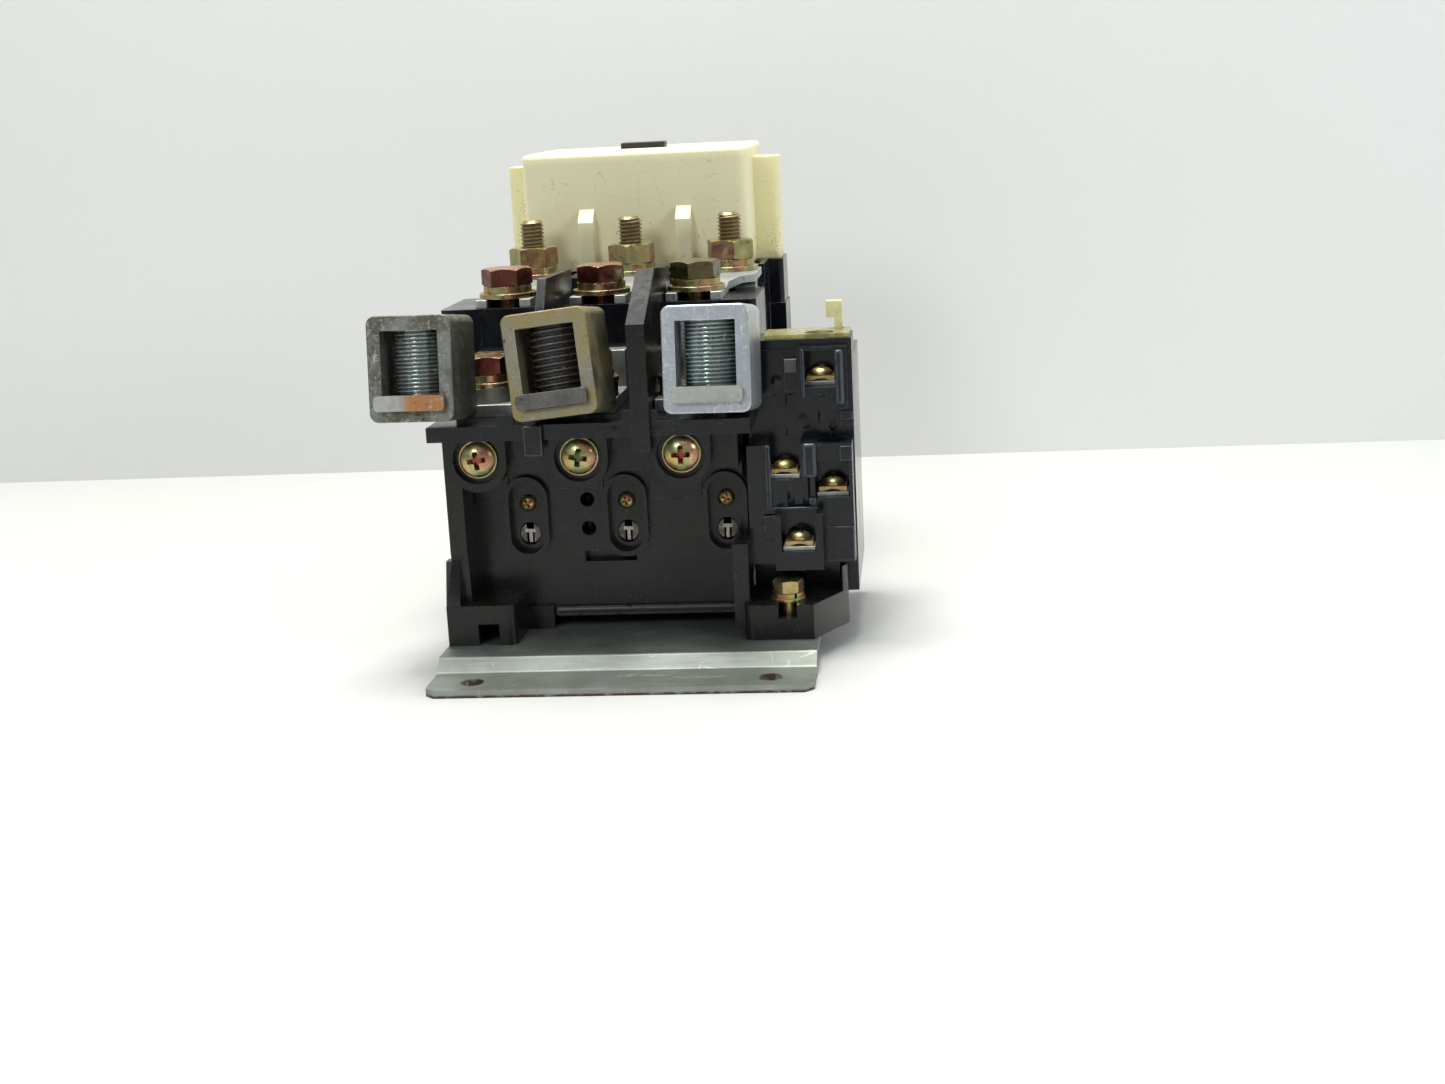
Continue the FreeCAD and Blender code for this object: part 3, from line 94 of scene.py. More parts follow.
def mixValue(tree, factor, first, second):
    return addNode(tree, "ShaderNodeMix", {0: factor, 2: first, 3: second}, data_type="FLOAT").outputs[0]


# 0 below low and 1 above high, smooth between
def fade(tree, value, low, high):
    return addNode(tree, "ShaderNodeMapRange", {0: value, 1: low, 2: high},
                   interpolation_type="SMOOTHSTEP").outputs[0]


# noise on object coordinates, from 0 to 1; scale is in repeats per millimetre
def cloud(tree, place, scale, detail=3.0, stretch=(1, 1, 1), shift=(0, 0, 0)):
    moved = addNode(tree, "ShaderNodeMapping", {0: place, 1: shift, 3: [1000 * part for part in stretch]})
    return addNode(tree, "ShaderNodeTexNoise", {0: moved.outputs[0], "Scale": scale,
                                                "Detail": detail}).outputs[0]


def objectPlace(tree):
    return addNode(tree, "ShaderNodeTexCoord").outputs["Object"]


def newGroup(name, inputs, outputs):
    tree = bpy.data.node_groups.new(name, "ShaderNodeTree")
    kinds = {float: "NodeSocketFloat", tuple: "NodeSocketColor", "normal": "NodeSocketVector"}
    for label, value in inputs.items():
        socket = tree.interface.new_socket(name=label, in_out="INPUT", socket_type=kinds[type(value)])
        socket.default_value = value + (1.0,) if isinstance(value, tuple) else value
    for label, kind in outputs.items():
        tree.interface.new_socket(name=label, in_out="OUTPUT", socket_type=kinds[kind])
    return tree, tree.nodes.new("NodeGroupInput").outputs, tree.nodes.new("NodeGroupOutput")


def makeSettledDust():
    tree, given, result = newGroup("settledDust", {
        "Colour": (0.02, 0.02, 0.02), "Roughness": 0.4, "Dust Colour": (0.2, 0.19, 0.16), "Dust": 0.5,
        "Scale": 0.08}, {"Colour": tuple, "Roughness": float})
    place = objectPlace(tree)
    broad = cloud(tree, place, 0.05)
    fine = addNode(tree, "ShaderNodeTexNoise", {0: addNode(tree, "ShaderNodeMapping", {
        0: place, 3: (1000, 1000, 1000)}).outputs[0], "Scale": given["Scale"], "Detail": 8.0,
                                                "Roughness": 0.7})
    facing = addNode(tree, "ShaderNodeSeparateXYZ", {0: addNode(tree,
            "ShaderNodeNewGeometry").outputs["Normal"]})
    upward = fade(tree, facing.outputs[2], 0.2, 0.95)
    cover = calc(tree, "ADD", calc(tree, "MULTIPLY", upward, 0.8), 0.16)
    patches = calc(tree, "MULTIPLY", fade(tree, broad, 0.25, 0.75), fade(tree, fine.outputs[0], 0.3, 0.75))
    mask = calc(tree, "MULTIPLY", calc(tree, "MULTIPLY", cover, patches), given["Dust"], True)
    tree.links.new(mixColour(tree, mask, given["Colour"], given["Dust Colour"]), result.inputs[0])
    tree.links.new(mixValue(tree, mask, given["Roughness"], 0.9), result.inputs[1])
    return tree


def makeFineGrain():
    tree, given, result = newGroup("fineGrain", {"Scale": 2.0, "Strength": 0.2, "Depth": 0.05},
                                   {"Normal": "normal"})
    moved = addNode(tree, "ShaderNodeMapping", {0: objectPlace(tree), 3: (1000, 1000, 1000)})
    grain = addNode(tree, "ShaderNodeTexNoise", {0: moved.outputs[0], "Scale": given["Scale"], "Detail": 5.0})
    bump = addNode(tree, "ShaderNodeBump", {
        "Height": grain.outputs[0], "Strength": given["Strength"],
        "Distance": calc(tree, "MULTIPLY", given["Depth"], 0.001)})
    tree.links.new(bump.outputs[0], result.inputs[0])
    return tree


def makeHairScratches():
    tree, given, result = newGroup("hairScratches", {"Scale": 0.3, "Width": 0.006, "Cover": 0.5},
                                   {"Mask": float})
    place = objectPlace(tree)
    lines = []
    for stretch, turn in (((0.25, 1.0, 1.6), (0.3, 0.7, 0.4)), ((1.3, 1.0, 0.2), (-0.5, 0.2, 1.1))):
        moved = addNode(tree, "ShaderNodeMapping", {0: place, 2: turn, 3: [1000 * part for part in stretch]})
        wave = addNode(tree, "ShaderNodeTexNoise", {0: moved.outputs[0], "Scale": given["Scale"],
                "Detail": 1.5})
        distance = calc(tree, "ABSOLUTE", calc(tree, "SUBTRACT", wave.outputs[0], 0.5))
        lines.append(calc(tree, "LESS_THAN", distance, given["Width"]))
    broken = fade(tree, cloud(tree, place, 0.35, shift=(3, 1, 7)), 0.45, 0.6)
    found = calc(tree, "MULTIPLY", calc(tree, "MAXIMUM", lines[0], lines[1]), broken)
    tree.links.new(calc(tree, "MULTIPLY", found, given["Cover"], True), result.inputs[0])
    return tree


# mask of the rounded edges, broken up by noise; the rounding writes the attribute that it reads; it carries edge
# wear and, on the black mouldings, a painted highlight along the edges
def makeEdgeWearAndHighlight():
    tree, given, result = newGroup("edgeWearAndHighlight", {"Scale": 0.6, "Wear": 0.5}, {"Mask": float})
    edge = addNode(tree, "ShaderNodeAttribute", attribute_name="edgeMask").outputs["Fac"]
    moved = addNode(tree, "ShaderNodeMapping", {0: objectPlace(tree), 3: (1000, 1000, 1000)})
    patch = addNode(tree, "ShaderNodeTexNoise", {0: moved.outputs[0], "Scale": given["Scale"], "Detail": 6.0})
    limit = calc(tree, "SUBTRACT", 1.0, given["Wear"])
    chips = fade(tree, patch.outputs[0], calc(tree, "MULTIPLY", limit, 0.6),
                 calc(tree, "ADD", calc(tree, "MULTIPLY", limit, 0.6), 0.25))
    tree.links.new(calc(tree, "MULTIPLY", edge, chips, True), result.inputs[0])
    return tree


# yellow chromate: gold that drifts to green, copper pink and dark plum; the hue also shifts with the direction a
# face points and upright faces go plum, a painted sheen standing in for how the film's colour changes with the
# light
def makeChromateTintAndSheen():
    tree, given, result = newGroup("chromateTintAndSheen", {"Scale": 0.2, "Shift": 0.0, "Plum": 0.5},
                                   {"Colour": tuple})
    place = objectPlace(tree)
    moved = addNode(tree, "ShaderNodeMapping", {0: place, 3: (1000, 1000, 1000)})
    drift = addNode(tree, "ShaderNodeTexNoise", {0: moved.outputs[0], "Scale": given["Scale"], "Detail": 3.0})
    normal = addNode(tree, "ShaderNodeNewGeometry").outputs["Normal"]
    # painted sheen: the hue is shifted by the direction the face points
    way = addNode(tree, "ShaderNodeVectorMath", {0: normal, 1: (2.1, 0.6, 0.9)},
                  operation="DOT_PRODUCT").outputs["Value"]
    phase = calc(tree, "FRACT", calc(tree, "ADD", calc(tree, "ADD", calc(tree, "MULTIPLY", way, 0.33),
                                                       calc(tree, "MULTIPLY", drift.outputs[0], 1.1)),
                                     given["Shift"]))
    ramp = addNode(tree, "ShaderNodeValToRGB", {0: phase}).color_ramp
    stops = [(0.0, (0.46, 0.31, 0.12)), (0.22, (0.47, 0.41, 0.18)), (0.42, (0.29, 0.34, 0.15)),
             (0.58, (0.52, 0.40, 0.20)), (0.74, (0.43, 0.20, 0.14)), (0.88, (0.38, 0.23, 0.13)),
             (1.0, (0.46, 0.31, 0.12))]
    fillRamp(ramp, stops)
    colour = tree.nodes[-1].outputs[0]
    # upright faces turn dark plum: partly the film's own colour, partly painted shade on the sides
    facing = addNode(tree, "ShaderNodeSeparateXYZ", {0: normal})
    side = calc(tree, "SUBTRACT", 1.0, fade(tree, calc(tree, "ABSOLUTE", facing.outputs[2]), 0.1, 0.4))
    plum = calc(tree, "MULTIPLY", calc(tree, "MULTIPLY", side, given["Plum"]), fade(tree, drift.outputs[0],
            0.2, 0.45), True)
    tree.links.new(mixColour(tree, plum, colour, (0.17, 0.050, 0.036)), result.inputs[0])
    return tree


def fillRamp(ramp, stops):
    while len(ramp.elements) < len(stops):
        ramp.elements.new(0.5)
    for element, (place, colour) in zip(ramp.elements, stops):
        element.position = place
        element.color = tuple(colour) + (1.0,)


settledDust = makeSettledDust()
fineGrain = makeFineGrain()
hairScratches = makeHairScratches()
edgeWearAndHighlight = makeEdgeWearAndHighlight()
chromateTintAndSheen = makeChromateTintAndSheen()


def useGroup(tree, group, inputs=None):
    node = addNode(tree, "ShaderNodeGroup", node_tree=group)
    for label, source in (inputs or {}).items():
        if isinstance(source, bpy.types.NodeSocket):
            tree.links.new(source, node.inputs[label])
        else:
            node.inputs[label].default_value = tuple(source) + (1.0,) if isinstance(source, tuple) else source
    return node.outputs


def newMaterial(name):
    material = bpy.data.materials.new(name)
    material.use_nodes = True
    tree = material.node_tree
    return material, tree, tree.nodes["Principled BSDF"]


def connect(tree, shader, **sockets):
    names = {"colour": "Base Color", "roughness": "Roughness", "metal": "Metallic", "normal": "Normal"}
    for key, source in sockets.items():
        target = shader.inputs[names[key]]
        if isinstance(source, bpy.types.NodeSocket):
            tree.links.new(source, target)
        else:
            target.default_value = tuple(source) + (1.0,) if isinstance(source, tuple) else source


# edge is the colour of the rounded edges and scratches: partly wear, partly a painted highlight standing in for
# glossy glints along the edges
mouldings = {
    "relayBlack": {"base": (0.006, 0.0058, 0.005), "pale": (0.0105, 0.010, 0.0085), "roughness": 0.20,
                   "dust": 0.3,
                   "dustColour": (0.10, 0.095, 0.075), "grain": 0.16, "edge": (0.13, 0.13, 0.125)},
    "blockBlack": {"base": (0.005, 0.0055, 0.0075), "pale": (0.009, 0.0105, 0.0145), "roughness": 0.13,
                   "dust": 0.22,
                   "dustColour": (0.09, 0.09, 0.08), "grain": 0.1, "edge": (0.12, 0.135, 0.16)},
    "barrierBlack": {"base": (0.006, 0.006, 0.006), "pale": (0.0105, 0.010, 0.009), "roughness": 0.20,
                     "dust": 0.45,
                     "dustColour": (0.11, 0.105, 0.09), "grain": 0.2, "edge": (0.14, 0.15, 0.16)},
    "carrierDark": {"base": (0.02, 0.016, 0.012), "pale": (0.035, 0.03, 0.024), "roughness": 0.4, "dust": 0.2,
                    "dustColour": (0.12, 0.11, 0.09), "grain": 0.3, "edge": (0.06, 0.05, 0.045)}}


def makeMoulding(name):
    values = mouldings[name]
    material, tree, shader = newMaterial(name)
    place = objectPlace(tree)
    # faint upright flow marks, and broad pale patches where hands have dulled it
    flow = cloud(tree, place, 0.5, 2.0, (1.0, 1.0, 0.06))
    handled = fade(tree, cloud(tree, place, 0.035, 4.0), 0.35, 0.75)
    colour = mixColour(tree, calc(tree, "MULTIPLY", handled, 0.6), values["base"], values["pale"])
    colour = mixColour(tree, calc(tree, "MULTIPLY", fade(tree, flow, 0.45, 0.7), 0.25), colour,
                       values["pale"])
    specks = fade(tree, cloud(tree, place, 1.4, 2.0, shift=(5, 2, 8)), 0.70, 0.76)
    colour = mixColour(tree, calc(tree, "MULTIPLY", specks, 0.35), colour, values["dustColour"])
    # painted highlight: the rounded edges are lightened towards the edge colour, partly wear, partly standing in
    # for the glints of light along glossy edges
    edgeBlend = useGroup(tree, edgeWearAndHighlight, {"Scale": 0.35, "Wear": 0.6})[0]
    colour = mixColour(tree, calc(tree, "MULTIPLY", edgeBlend, 0.42), colour, values["edge"])
    rough = mixValue(tree, handled, values["roughness"], values["roughness"] + 0.14)
    scratch = useGroup(tree, hairScratches, {"Scale": 0.12, "Width": 0.0035, "Cover": 0.1})[0]
    colour = mixColour(tree, scratch, colour, values["edge"])
    dusty = useGroup(tree, settledDust, {"Colour": colour, "Roughness": rough,
                                         "Dust Colour": values["dustColour"],
                                         "Dust": values["dust"], "Scale": 0.35})
    grain = useGroup(tree, fineGrain, {"Scale": 1.6, "Strength": values["grain"], "Depth": 0.05})[0]
    connect(tree, shader, colour=dusty[0], roughness=dusty[1], normal=grain)
    shader.inputs["Specular IOR Level"].default_value = 0.32
    return material


# the dirt colour serves the pits and also the painted shade in the thread valleys
metals = {
    "lugBright": {"base": (0.52, 0.55, 0.58), "stain": (0.38, 0.39, 0.38), "dirt": (0.12, 0.09, 0.07),
                  "stainAmount": 0.35,
                  "roughness": 0.30, "wear": 0.55, "edge": (0.82, 0.85, 0.92), "scratch": 0.8},
    "lugDull": {"base": (0.20, 0.21, 0.185), "stain": (0.10, 0.095, 0.065), "dirt": (0.07, 0.045, 0.035),
                "stainAmount": 0.85,
                "roughness": 0.42, "wear": 0.45, "edge": (0.50, 0.50, 0.48), "scratch": 0.6},
    "lugStained": {"base": (0.24, 0.225, 0.165), "stain": (0.30, 0.25, 0.11), "dirt": (0.075, 0.05, 0.04),
                   "stainAmount": 0.9,
                   "roughness": 0.45, "wear": 0.35, "edge": (0.36, 0.34, 0.30), "scratch": 0.5},
    "threadBright": {"base": (0.74, 0.82, 0.80), "stain": (0.60, 0.66, 0.58), "dirt": (0.085, 0.09, 0.08),
                     "stainAmount": 0.1,
                     "roughness": 0.16, "wear": 0.2, "edge": (0.8, 0.85, 0.85), "scratch": 0.0, "grain": 0.0,
                     "mottle": 0.0},
    "threadDull": {"base": (0.74, 0.80, 0.78), "stain": (0.52, 0.56, 0.51), "dirt": (0.085, 0.08, 0.07),
                   "stainAmount": 0.15,
                   "roughness": 0.18, "wear": 0.2, "edge": (0.7, 0.74, 0.74), "scratch": 0.0, "grain": 0.0,
                   "mottle": 0.0},
    "threadDark": {"base": (0.33, 0.315, 0.30), "stain": (0.22, 0.20, 0.19), "dirt": (0.035, 0.03, 0.03),
                   "stainAmount": 0.2,
                   "roughness": 0.2, "wear": 0.2, "edge": (0.4, 0.4, 0.4), "scratch": 0.0, "grain": 0.0,
                   "mottle": 0.0},
    "tongueGrey": {"base": (0.44, 0.45, 0.42), "stain": (0.30, 0.29, 0.24), "dirt": (0.12, 0.09, 0.06),
                   "stainAmount": 0.6,
                   "roughness": 0.42, "wear": 0.5, "edge": (0.55, 0.56, 0.54), "scratch": 0.5},
    "tongueDark": {"base": (0.13, 0.125, 0.115), "stain": (0.08, 0.075, 0.065), "dirt": (0.05, 0.035, 0.03),
                   "stainAmount": 0.6,
                   "roughness": 0.45, "wear": 0.5, "edge": (0.25, 0.24, 0.22), "scratch": 0.4},
    "barTin": {"base": (0.42, 0.45, 0.43), "stain": (0.30, 0.30, 0.25), "dirt": (0.13, 0.09, 0.07),
               "stainAmount": 0.6,
               "roughness": 0.45, "wear": 0.5, "edge": (0.60, 0.62, 0.60), "scratch": 0.6},
    "studSteel": {"base": (0.40, 0.31, 0.15), "stain": (0.36, 0.33, 0.20), "dirt": (0.09, 0.06, 0.03),
                  "stainAmount": 0.6,
                  "roughness": 0.34, "wear": 0.4, "edge": (0.65, 0.58, 0.40), "scratch": 0.3},
    "springGrey": {"base": (0.33, 0.32, 0.28), "stain": (0.25, 0.22, 0.16), "dirt": (0.08, 0.06, 0.05),
                   "stainAmount": 0.4,
                   "roughness": 0.36, "wear": 0.4, "edge": (0.5, 0.49, 0.45), "scratch": 0.3},
    "coreSteel": {"base": (0.20, 0.195, 0.19), "stain": (0.14, 0.12, 0.10), "dirt": (0.08, 0.05, 0.04),
                  "stainAmount": 0.5,
                  "roughness": 0.5, "wear": 0.4, "edge": (0.32, 0.31, 0.30), "scratch": 0.2},
    "copperRed": {"base": (0.62, 0.29, 0.16), "stain": (0.40, 0.19, 0.11), "dirt": (0.12, 0.06, 0.04),
                  "stainAmount": 0.4,
                  "roughness": 0.34, "wear": 0.3, "edge": (0.78, 0.44, 0.28), "scratch": 0.3},
    "heaterLeaf": {"base": (0.10, 0.088, 0.08), "stain": (0.07, 0.055, 0.045), "dirt": (0.06, 0.04, 0.03),
                   "stainAmount": 0.4,
                   "roughness": 0.35, "wear": 0.3, "edge": (0.5, 0.4, 0.34), "scratch": 0.3}}


def makeMetal(name, bareCopper=None):
    values = metals[name]
    material, tree, shader = newMaterial(name)
    place = objectPlace(tree)
    blotch = cloud(tree, place, 0.12, 5.0)
    mottle = cloud(tree, place, 0.9, 4.0, shift=(2, 9, 4))
    stained = calc(tree, "MULTIPLY", fade(tree, blotch, 0.38, 0.62), values["stainAmount"], True)
    colour = mixColour(tree, stained, values["base"], values["stain"])
    colour = mixColour(tree, calc(tree, "MULTIPLY", fade(tree, mottle, 0.5, 0.72), values.get("mottle", 0.3)),
                       colour, values["edge"])
    pits = fade(tree, cloud(tree, place, 0.55, 6.0, shift=(7, 3, 1)), 0.62, 0.72)
    colour = mixColour(tree, calc(tree, "MULTIPLY", pits, 0.75 * values["stainAmount"]), colour,
                       values["dirt"])
    scratch = useGroup(tree, hairScratches, {"Scale": 0.5, "Width": 0.010, "Cover": values["scratch"]})[0]
    colour = mixColour(tree, scratch, colour, values["edge"])
    edgeBlend = useGroup(tree, edgeWearAndHighlight, {"Scale": 0.8, "Wear": values["wear"]})[0]
    colour = mixColour(tree, edgeBlend, colour, values["edge"])
    # painted shade: faces deep in the thread valleys are darkened towards the dirt colour, standing in for the
    # shade between the crests
    valley = addNode(tree, "ShaderNodeAttribute", attribute_name="valleyShadeMask").outputs["Fac"]
    colour = mixColour(tree, calc(tree, "MULTIPLY", valley, 0.82), colour, values["dirt"])
    rough = mixValue(tree, stained, values["roughness"], values["roughness"] + 0.18)
    rough = mixValue(tree, pits, rough, 0.8)
    if bareCopper:
        side = addNode(tree, "ShaderNodeSeparateXYZ", {0: place}).outputs[0]
        bare = calc(tree, "MULTIPLY", fade(tree, side, bareCopper[0] * mm, bareCopper[1] * mm),
                    fade(tree, calc(tree, "ADD", mottle, 0.12), 0.4, 0.55))
        front = addNode(tree, "ShaderNodeSeparateXYZ", {0: place}).outputs[1]
        bare = calc(tree, "MULTIPLY", bare, fade(tree, front, -0.108, -0.1095))
        colour = mixColour(tree, bare, colour, (0.42, 0.20, 0.09))
    grain = useGroup(tree, fineGrain, {"Scale": 1.1, "Strength": values.get("grain", 0.35), "Depth": 0.05})[0]
    connect(tree, shader, colour=colour, roughness=rough, normal=grain)
    shader.inputs["Metallic"].default_value = 0.9
    return material


chromates = {
    "boltChromate": {"shift": 0.0, "plum": 1.0, "scale": 0.12, "roughness": 0.27, "oliveBeyond": 5.0},
    "washerChromate": {"shift": 0.15, "plum": 0.0, "scale": 0.22, "roughness": 0.25},
    "nutChromate": {"shift": 0.5, "plum": 0.12, "scale": 0.2, "roughness": 0.30},
    "footChromate": {"shift": 0.62, "plum": 0.0, "scale": 0.1, "roughness": 0.26},
    "panChromate": {"shift": 0.05, "plum": 0.0, "scale": 0.16, "roughness": 0.24, "recess": (0.26, 0.045,
            0.03),
                    "middleRecess": (0.10, 0.13, 0.04)},
    "clampChromate": {"shift": 0.62, "plum": 0.0, "scale": 0.3, "roughness": 0.3, "recess": (0.06, 0.045,
            0.02),
                      "middleRecess": (0.06, 0.045, 0.02)}}


def makeChromate(name):
    values = chromates[name]
    material, tree, shader = newMaterial(name)
    place = objectPlace(tree)
    tint = useGroup(tree, chromateTintAndSheen, {"Scale": values["scale"], "Shift": values["shift"],
                                         "Plum": values["plum"]})[0]
    if "oliveBeyond" in values:
        # the right-hand bolts have gone olive where the others are plum
        side = addNode(tree, "ShaderNodeSeparateXYZ", {0: place}).outputs[0]
        beyond = fade(tree, side, values["oliveBeyond"] * mm, (values["oliveBeyond"] + 1) * mm)
        tint = mixColour(tree, calc(tree, "MULTIPLY", beyond, 0.75), tint, (0.13, 0.14, 0.062))
    edgeBlend = useGroup(tree, edgeWearAndHighlight, {"Scale": 0.9, "Wear": 0.7})[0]
    colour = mixColour(tree, calc(tree, "MULTIPLY", edgeBlend, 0.6), tint, (0.62, 0.56, 0.38))
    if "recess" in values:
        # the middle screw's recess has gone green where the outer two are red
        side = addNode(tree, "ShaderNodeSeparateXYZ", {0: place}).outputs[0]
        middle = fade(tree, calc(tree, "ABSOLUTE", calc(tree, "ADD", side, 13 * mm)), 12 * mm, 8 * mm)
        tinted = mixColour(tree, middle, values["recess"], values["middleRecess"])
        inside = addNode(tree, "ShaderNodeAttribute", attribute_name="recessMask").outputs["Fac"]
        colour = mixColour(tree, calc(tree, "MULTIPLY", inside, 0.9), colour, tinted)
    grime = fade(tree, cloud(tree, place, 0.7, 6.0), 0.60, 0.72)
    colour = mixColour(tree, calc(tree, "MULTIPLY", grime, 0.7), colour, (0.07, 0.045, 0.03))
    rough = mixValue(tree, fade(tree, cloud(tree, place, 0.4, 4.0, shift=(1, 5, 2)), 0.4, 0.7),
                     values["roughness"], values["roughness"] + 0.2)
    grain = useGroup(tree, fineGrain, {"Scale": 1.3, "Strength": 0.25, "Depth": 0.04})[0]
    connect(tree, shader, colour=colour, roughness=rough, normal=grain)
    shader.inputs["Metallic"].default_value = 0.92
    return material


plateFinish = {"zinc": (0.27, 0.295, 0.26), "pale": (0.34, 0.37, 0.335), "dark": (0.15, 0.165, 0.15),
               "rust": (0.07, 0.032, 0.02), "roughness": 0.46, "rustHeight": 1.1,
               "scuffs": [(-2.0, 9.0, 11.5, 1.3), (13.0, 10.0, 9.0, 1.4)]}


def makePlateZinc():
    values = plateFinish
    material, tree, shader = newMaterial("plateZinc")
    place = objectPlace(tree)
    axes = addNode(tree, "ShaderNodeSeparateXYZ", {0: place}).outputs
    spangle = cloud(tree, place, 0.09, 5.0)
    brushed = cloud(tree, place, 0.8, 3.0, (0.08, 1.0, 1.0))
    colour = mixColour(tree, fade(tree, spangle, 0.35, 0.7), values["zinc"], values["pale"])
    colour = mixColour(tree, calc(tree, "MULTIPLY", fade(tree, brushed, 0.45, 0.75), 0.35), colour,
                       values["dark"])
    speck = fade(tree, cloud(tree, place, 0.9, 3.0, shift=(4, 4, 2)), 0.68, 0.74)
    colour = mixColour(tree, calc(tree, "MULTIPLY", speck, 0.5), colour, values["dark"])
    # scuffs that show as pale streaks on the front flange
    rubbed = cloud(tree, place, 0.9, 5.0, (0.35, 1.6, 1.0), (0, 2, 0))
    marks = 0.0
    for centre, reach, depth, half in values["scuffs"]:
        along = fade(tree, calc(tree, "ABSOLUTE", calc(tree, "SUBTRACT", axes[0], (centre + 8) * mm)),
                     reach * mm, reach * 0.6 * mm)
        across = fade(tree, calc(tree, "ABSOLUTE", calc(tree, "SUBTRACT", axes[1], (depth - 130) * mm)),
                      half * mm, 0.0)
        marks = calc(tree, "MAXIMUM", marks, calc(tree, "MULTIPLY", along, across))
    marks = calc(tree, "MULTIPLY", marks, fade(tree, rubbed, 0.47, 0.52))
    colour = mixColour(tree, calc(tree, "MULTIPLY", marks, 0.85), colour, (0.70, 0.68, 0.58))
    scratch = useGroup(tree, hairScratches, {"Scale": 0.07, "Width": 0.0022, "Cover": 0.6})[0]
    colour = mixColour(tree, scratch, colour, (0.55, 0.57, 0.54))
    # rust creeps up from the cut lower edge and rings the holes; the dark ring round each hole also paints the
    # shade on the hole's wall
    lowEdge = fade(tree, axes[2], values["rustHeight"] * mm, 0.2 * mm)
    patchy = fade(tree, cloud(tree, place, 0.35, 6.0, shift=(9, 1, 3)), 0.3, 0.6)
    facing = addNode(tree, "ShaderNodeSeparateXYZ", {0: addNode(tree,
            "ShaderNodeNewGeometry").outputs["Normal"]}).outputs[2]
    upright = fade(tree, calc(tree, "ABSOLUTE", facing), 0.8, 0.3)
    rust = calc(tree, "MULTIPLY", calc(tree, "MULTIPLY", lowEdge, upright), calc(tree, "ADD", patchy, 0.35),
                True)
    holeRustAndShade = 0.0
    for side in (-42.5, 42.5):
        across = calc(tree, "POWER", calc(tree, "SUBTRACT", axes[0], side * mm), 2.0)
        along = calc(tree, "POWER", calc(tree, "SUBTRACT", calc(tree, "ABSOLUTE", axes[1]), 122.5 * mm), 2.0)
        span = calc(tree, "SQRT", calc(tree, "ADD", across, along))
        holeRustAndShade = calc(tree, "MAXIMUM", holeRustAndShade, fade(tree, span, 4.0 * mm, 3.2 * mm))
    rust = calc(tree, "MAXIMUM", rust, calc(tree, "MULTIPLY", holeRustAndShade, patchy))
    colour = mixColour(tree, rust, colour, values["rust"])
    rough = mixValue(tree, rust, mixValue(tree, fade(tree, spangle, 0.3, 0.7), values["roughness"], 0.5),
                     0.85)
    grain = useGroup(tree, fineGrain, {"Scale": 0.8, "Strength": 0.22, "Depth": 0.05})[0]
    connect(tree, shader, colour=colour, roughness=rough, normal=grain,
            metal=mixValue(tree, rust, 0.82, 0.1))
    return material


coverFinish = {"front": (0.76, 0.72, 0.485), "rim": (0.86, 0.82, 0.55), "wing": (0.83, 0.78, 0.46),
               "grime": (0.20, 0.16, 0.08), "roughness": 0.38}


def makeCoverCream():
    values = coverFinish
    material, tree, shader = newMaterial("coverCream")
    place = objectPlace(tree)
    axes = addNode(tree, "ShaderNodeSeparateXYZ", {0: place}).outputs
    # the flat walls look greyer where the dark works behind them show through
    fromMiddle = calc(tree, "ABSOLUTE", calc(tree, "SUBTRACT", axes[1], 53.5 * mm))
    wall = fade(tree, fromMiddle, 29.4 * mm, 30.8 * mm)
    below = fade(tree, axes[2], 143.0 * mm, 140.5 * mm)
    colour = mixColour(tree, calc(tree, "MULTIPLY", wall, below), values["rim"], values["front"])
    fromCentre = calc(tree, "ABSOLUTE", calc(tree, "ADD", axes[0], 8.9 * mm))
    wing = fade(tree, fromCentre, 38.2 * mm, 39.4 * mm)
    colour = mixColour(tree, wing, colour, values["wing"])
    cloudy = fade(tree, cloud(tree, place, 0.05, 4.0), 0.35, 0.7)
    colour = mixColour(tree, calc(tree, "MULTIPLY", cloudy, 0.22), colour, values["rim"])
    specks = addNode(tree, "ShaderNodeTexVoronoi", {0: addNode(tree, "ShaderNodeMapping", {
        0: place, 3: (1000, 1000, 1000)}).outputs[0], "Scale": 1.1}).outputs["Distance"]
    spotted = calc(tree, "MULTIPLY", fade(tree, specks, 0.28, 0.14), fade(tree, cloud(tree, place, 0.09, 4.0),
            0.48, 0.62))
    spotted = calc(tree, "MULTIPLY", spotted, calc(tree, "ADD", calc(tree, "MULTIPLY", wing, 0.55), 0.16))
    colour = mixColour(tree, spotted, colour, values["grime"])
    scratch = useGroup(tree, hairScratches, {"Scale": 0.10, "Width": 0.003, "Cover": 0.45})[0]
    colour = mixColour(tree, scratch, colour, (0.34, 0.31, 0.20))
    dirtyFoot = calc(tree, "MULTIPLY", fade(tree, axes[2], 112 * mm, 104 * mm), fade(tree, cloud(tree, place,
            0.2, 4.0), 0.4, 0.7))
    colour = mixColour(tree, calc(tree, "MULTIPLY", dirtyFoot, 0.4), colour, values["grime"])
    grain = useGroup(tree, fineGrain, {"Scale": 0.7, "Strength": 0.15, "Depth": 0.05})[0]
    connect(tree, shader, colour=colour, normal=grain,
            roughness=mixValue(tree, cloudy, values["roughness"], values["roughness"] + 0.12))
    shader.inputs["Subsurface Weight"].default_value = 0.35
    shader.inputs["Subsurface Radius"].default_value = (1.0, 0.8, 0.45)
    shader.inputs["Subsurface Scale"].default_value = 2.5 * mm
    return material


